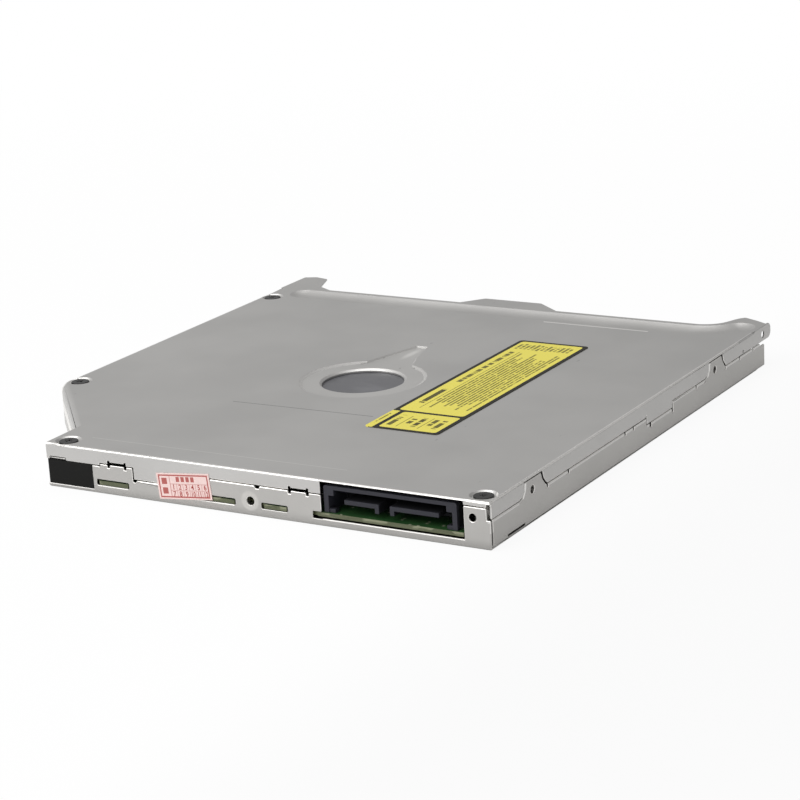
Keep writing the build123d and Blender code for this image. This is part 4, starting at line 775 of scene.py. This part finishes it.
# The width of each piece's bevel in millimetres.
EDGES = {
    "top_cover": 0.12, "bottom_case": 0.2, "corner_block": 0.08, "connector_housing": 0.06,
    "board_chips": 0.08, "cable_sockets": 0.08, "detect_switches": 0.08, "traverse_frame": 0.1,
    "pickup_sled": 0.1, "lens_holder": 0.06, "cam_slider": 0.08, "turntable": 0.06,
    "centring_hub": 0.12, "hub_claws": 0.15, "reduction_gear": 0.04, "worm_wheel": 0.04,
    "loading_motor": 0.3, "motor_cradle": 0.1, "feed_motor": 0.2, "front_guide": 0.12,
    "side_guide": 0.15, "hinge_supports": 0.15, "rear_lever": 0.05, "side_lever": 0.05,
    "rear_lever_post": 0.2, "side_lever_post": 0.2, "screw_follower": 0.12,
    "guide_rods": 0.1, "gear_studs": 0.06, "lever_studs": 0.04, "board_screws": 0.08,
    "spindle_stator": 0.08, "grip_ring": 0.06, "spindle_base": 0.05,
}
put_back = sum(fine_edges(node, slots[node], width) for node, width in EDGES.items())
for node, item in nodes.items():
    item.data.materials.clear()
    item.data.materials.append(finishes[slots[node]])
print("fine edges on", len(EDGES), "pieces,", put_back, "points put back")


# %% [markdown]
# Round pieces come from a profile turned about an axis: each ring is one radius and one height.
# A function of ring and angle may sink the surface, which cuts a cross into a screw head or
# winds a thread round a shaft without any cutting.

# %% Turned surfaces
def turned(radii, heights, count, sink=None, lift=None):
    """Rings of points: radius (less sink) and height (less lift), both by ring and angle."""
    angle = np.linspace(0, 2 * np.pi, count, endpoint=False)[None, :]
    radius = np.asarray(radii, float)[:, None] + 0 * angle
    height = np.asarray(heights, float)[:, None] + 0 * angle
    if sink is not None:
        radius = radius - sink(radius, height, angle)
    if lift is not None:
        height = height - lift(radius, height, angle)
    points = np.stack([radius * np.cos(angle), radius * np.sin(angle), height], -1)
    return points.reshape(-1, 3)


def ring_faces(rings, count, start=0):
    """Four-sided faces between rings, and one face that closes the first and the last ring."""
    ring, side = np.meshgrid(np.arange(rings - 1), np.arange(count), indexing="ij")
    nearby = (side + 1) % count
    corners = [ring * count + side, ring * count + nearby, (ring + 1) * count + nearby]
    corners.append((ring + 1) * count + side)
    quads = np.stack(corners, -1).reshape(-1, 4) + start
    ends = [list(range(start + count - 1, start - 1, -1))]
    ends.append(list(range(start + (rings - 1) * count, start + rings * count)))
    return quads.tolist() + ends


def along(points, origin, axis):
    """Moves points from an upright axis at zero onto an axis through an origin."""
    turn = Vector((0, 0, 1)).rotation_difference(Vector(axis)).to_matrix()
    return points @ np.array(turn).T + np.asarray(origin)


print("turned surfaces ready")


# %% [markdown]
# The cover is held by four black screws with flat heads and a small cross recess, seated in
# round dimples. The recess is where the surface sinks inside two crossing bars.

# %% Cover screws
HEAD, HEAD_HEIGHT, HEAD_RIM, SHANK, SHANK_LENGTH = 2.0, 0.4, 0.14, 0.7, 3.0
CROSS_HALF, CROSS_REACH, CROSS_DEPTH, CROSS_WALL, CROSS_SLOPE = 0.2, 0.85, 0.3, 0.05, 0.3
HEAD_TOP = 0.3  # above this height over its seat a point belongs to the head's flat top
SCREW_SIDES, FIRST_TURN, NEXT_TURN = 96, 0.5, 1.1  # each screw's cross stands at its own angle


def cross_recess(radius, height, angle):
    """Depth inside two crossing bars, falling to nothing towards the bars' ends."""
    across = np.minimum(abs(radius * np.cos(angle)), abs(radius * np.sin(angle)))
    wall = np.clip((CROSS_HALF - across) / CROSS_WALL + 0.5, 0, 1)
    slope = np.clip((CROSS_REACH - radius) / CROSS_SLOPE, 0, 1)
    return np.where(height > HEAD_TOP, wall * slope * CROSS_DEPTH, 0)


head_curve = np.linspace(0, np.pi / 2, 6)
inner = np.linspace(HEAD - HEAD_RIM - 0.05, 0.01, 34)
radii = [0.02, SHANK - 0.08, SHANK, SHANK, HEAD - 0.05, HEAD]
radii += (HEAD - HEAD_RIM + HEAD_RIM * np.cos(head_curve)).tolist() + inner.tolist()
heights = [-SHANK_LENGTH, -SHANK_LENGTH, -SHANK_LENGTH + 0.1, 0.0, 0.0, 0.05]
heights += (HEAD_HEIGHT - HEAD_RIM + HEAD_RIM * np.sin(head_curve)).tolist()
heights += [HEAD_HEIGHT] * len(inner)
screw = turned(radii, heights, SCREW_SIDES, lift=cross_recess)
spots = node_points("cover_screws")
seat = spots[:, 2].max() - HEAD_HEIGHT
heads = spots[spots[:, 2] > seat + HEAD_TOP]
centres = []
while len(heads):
    near = np.linalg.norm(heads[:, :2] - heads[0, :2], axis=1) < 2.2 * HEAD
    centres.append((heads[near].min(0) + heads[near].max(0)) / 2)
    heads = heads[~near]
points, faces = [], []
for order, (across, back, _) in enumerate(centres):
    turn = Matrix.Rotation(FIRST_TURN + NEXT_TURN * order, 3, "Z")
    own = spots[np.linalg.norm(spots[:, :2] - [across, back], axis=1) < HEAD]
    spun = screw @ np.array(turn).T
    spun[:, 2] = np.maximum(spun[:, 2], own[:, 2].min() - seat)
    faces += ring_faces(len(radii), SCREW_SIDES, sum(map(len, points)))
    points.append(spun + [across, back, seat])
points = np.concatenate(points)
cover_screws = new_piece("cover_screws_fine", points, faces, "base", "black_screw", ["cover_screws"])
print("screws at", [np.round(c[:2], 1).tolist() for c in centres])


# %% [markdown]
# A worm and a feed screw are shafts with a helical ridge. The ridge is a wave in the sum of
# angle and height: where the sum passes a whole turn the thread crests, elsewhere it sinks.

# %% Threads
JOURNAL, PLAIN_END, RUN_OUT = 0.55, 0.9, 0.3  # the thin ends' radius and length, and the fade
FLANK_START, FLANK_WIDTH, SHAFT_SIDES = 0.3, 0.35, 40


def threaded(node, joint, radius, depth, pitch, slot):
    """A shaft on a joint's axis whose radius sinks between the crests of one helix."""
    joint = next(j for j in frame["joints"] if j["name"] == joint)
    axis, origin = np.array(joint["axis"]), np.array(joint["pos_m"]) * 1000
    reach = (node_points(node) - origin) @ axis
    low, high = reach.min(), reach.max()
    core_low, core_high = low + PLAIN_END, high - PLAIN_END

    def groove(r, h, angle):
        """How far the surface sinks: fully between two crests, and not at all on the thin ends."""
        wave = abs(((h / pitch - angle / (2 * np.pi)) % 1) - 0.5) * 2
        inside = np.clip(np.minimum(h - core_low, core_high - h) / RUN_OUT, 0, 1)
        shaft = np.where(r > JOURNAL + 0.06, depth, 0)
        return shaft * inside * np.clip((wave - FLANK_START) / FLANK_WIDTH, 0, 1)

    body = np.linspace(core_low, core_high, int((core_high - core_low) / pitch * 16))
    radii = [0.02, JOURNAL, JOURNAL] + [radius] * len(body) + [JOURNAL, JOURNAL, 0.02]
    heights = [low, low, core_low] + body.tolist() + [core_high, high, high]
    points = along(turned(radii, heights, SHAFT_SIDES, sink=groove), origin, axis)
    faces, body_name = ring_faces(len(radii), SHAFT_SIDES), nodes[node]["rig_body"]
    piece = new_piece(node + "_threaded", points, faces, body_name, slot, [node])


threaded("feed_screw", "feed_screw_turn", 1.19, 0.22, 1.0, "polished_steel")
threaded("worm", "worm_turn", 1.07, 0.3, 1.57, "brass_worm")
print("two threaded shafts")


# %% [markdown]
# The two disc levers are brought back by coil springs round their studs. A spring is a small
# circle carried along a helix, so one formula in two angles gives the whole wire.

# %% Lever springs
COIL, WIRE, TURNS, WIRE_RINGS, WIRE_SIDES = 1.62, 0.16, 2.8, 180, 10
BETWEEN_SPRINGS = 20  # an X in millimetres that parts the two springs


def helix_wire(centre, coil, wire, low, high, turns):
    """Wire along a helix: the first angle climbs the coil and the second goes round the wire.

    The radius is the coil's plus the wire's times the second angle's cosine, and the height is
    the climb plus the wire's radius times its sine.
    """
    t = np.linspace(0, 1, WIRE_RINGS)[:, None]
    v = np.linspace(0, 2 * np.pi, WIRE_SIDES, endpoint=False)[None, :]
    turn = 2 * np.pi * turns * t
    radius = coil + wire * np.cos(v)
    height = low + wire + (high - low - 2 * wire) * t + wire * np.sin(v)
    points = np.stack([radius * np.cos(turn), radius * np.sin(turn), height], -1)
    return points.reshape(-1, 3) + [centre[0], centre[1], 0]


springs = node_points("lever_springs")
points, faces = [], []
for side in (springs[:, 0] < BETWEEN_SPRINGS, springs[:, 0] > BETWEEN_SPRINGS):
    low, high = springs[side].min(0), springs[side].max(0)
    faces += ring_faces(WIRE_RINGS, WIRE_SIDES, sum(map(len, points)))
    points.append(helix_wire((low + high) / 2, COIL, WIRE, low[2], high[2], TURNS))
wires = np.concatenate(points)
springs = new_piece("lever_springs_wound", wires, faces, "base", "spring_steel", ["lever_springs"])
print("springs", len(points))


# %% [markdown]
# The drive lies on a plain pale floor. Satin metal takes its tone from what it mirrors, so the
# studio is a little brighter on the side of the rear wall than on the side of the right wall,
# as beside a large window, and the lit floor's colour is painted darker on the right wall's side,
# a painted shade for the metal to mirror. The camera sees floor and sky as plain white through
# Light Path, which adds no light, and a share of the lit floor stays in so that the drive keeps a
# shadow.

# %% Floor, sky and lamps
WINDOW_SIDE = (-0.52, -0.82, 0.25)  # where the brighter half of the studio lies
GLOSS_SHARE = 0.3
DARKER_FROM, DARKER_FULL = 0.045, 0.1  # metres of X between which the floor grows darker
SHADE_NEAR, SHADE_FAR = 0.12, 0.5  # metres from the drive between which its shadow fades out
FLOOR_HALF, FLOOR_DROP = 3, 0.00002  # metres
SKY_DIM, SKY_RISE = 0.1, 0.74


def seen_rays(finish):
    """1 for camera rays and rays through glass, and a share for mirrored rays."""
    paths = finish.tree.nodes.new("ShaderNodeLightPath")
    names = ("Is Camera Ray", "Is Transmission Ray", "Is Glossy Ray")
    plain, through, mirrored = [Value(finish, paths.outputs[name]) for name in names]
    return plain.most(through).most(mirrored * GLOSS_SHARE)


ground = Finish("floor")
x, y, _ = ground.split(ground.object, 1)
# Painted shade: the lit floor's colour darkens towards +X, for the metal to mirror.
tone = ground.mix(x.ramp(DARKER_FROM, DARKER_FULL), (0.82, 0.82, 0.82), (0.42, 0.42, 0.42))
tone = ground.mix(ground.noise(40) * 0.1, tone, (1, 1, 1))
white_share = distance(x, y, 0, 0).ramp(SHADE_NEAR, SHADE_FAR) * 0.08 + 0.92
lit = ground.node("ShaderNodeBsdfDiffuse", None, {"Color": tone})
white = ground.node("ShaderNodeEmission", None, {"Color": (1, 1, 1, 1), "Strength": 1.0})
ground.end_in(ground.node("ShaderNodeMixShader", None, [seen_rays(ground) * white_share, lit, white]))
floor_mesh = bpy.data.meshes.new("floor")
corners = [(i * FLOOR_HALF, j * FLOOR_HALF, 0) for i, j in ((-1, -1), (1, -1), (1, 1), (-1, 1))]
floor_mesh.from_pydata(corners, [], [(0, 1, 2, 3)])
floor_mesh.materials.append(ground.material)
floor = bpy.data.objects.new("floor", floor_mesh)
floor.location.z = -FLOOR_DROP
bpy.context.scene.collection.objects.link(floor)
floor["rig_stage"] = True

sky = Finish("studio", bpy.data.worlds)
bpy.context.scene.world = sky.material
facing = sky.node(
    "ShaderNodeVectorMath", {"operation": "DOT_PRODUCT"}, [sky.direction, WINDOW_SIDE], "Value"
)
strength = facing.ramp(-1.0, 0.9) * SKY_RISE + SKY_DIM
ambient = sky.node("ShaderNodeBackground", None, {"Color": (1, 1, 1, 1), "Strength": strength})
backdrop = sky.node("ShaderNodeBackground", None, {"Color": (1, 1, 1, 1), "Strength": 1.0})
both = sky.node("ShaderNodeMixShader", None, [seen_rays(sky), ambient, backdrop])
sky.end_in(both, "ShaderNodeOutputWorld")


def softbox(name, spot, target, size, watts):
    """A square area lamp at a spot in metres, turned to face a target."""
    lamp = bpy.data.lights.new(name, "AREA")
    lamp.shape, lamp.size, lamp.energy = "SQUARE", size, watts
    item = bpy.data.objects.new(name, lamp)
    item.location = spot
    item.rotation_euler = (Vector(target) - Vector(spot)).to_track_quat("-Z", "Y").to_euler()
    bpy.context.scene.collection.objects.link(item)


softbox("key", (-0.6, -0.8, 0.8), (0, 0, 0), 1.0, 7.0)
softbox("top", (-0.1, -0.1, 1.1), (0, 0, 0), 0.9, 4.8)
bpy.context.scene.view_settings.view_transform = "Standard"


# %% [markdown]
# Last, the dressed model's box is set beside the measured one, so that any piece that grew
# past the real size shows up at once.

# %% Compare the boxes and finish
low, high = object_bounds()
print("grew by mm", [round((a - b) * 1000, 3) for a, b in zip(high - low, cad_high - cad_low)])
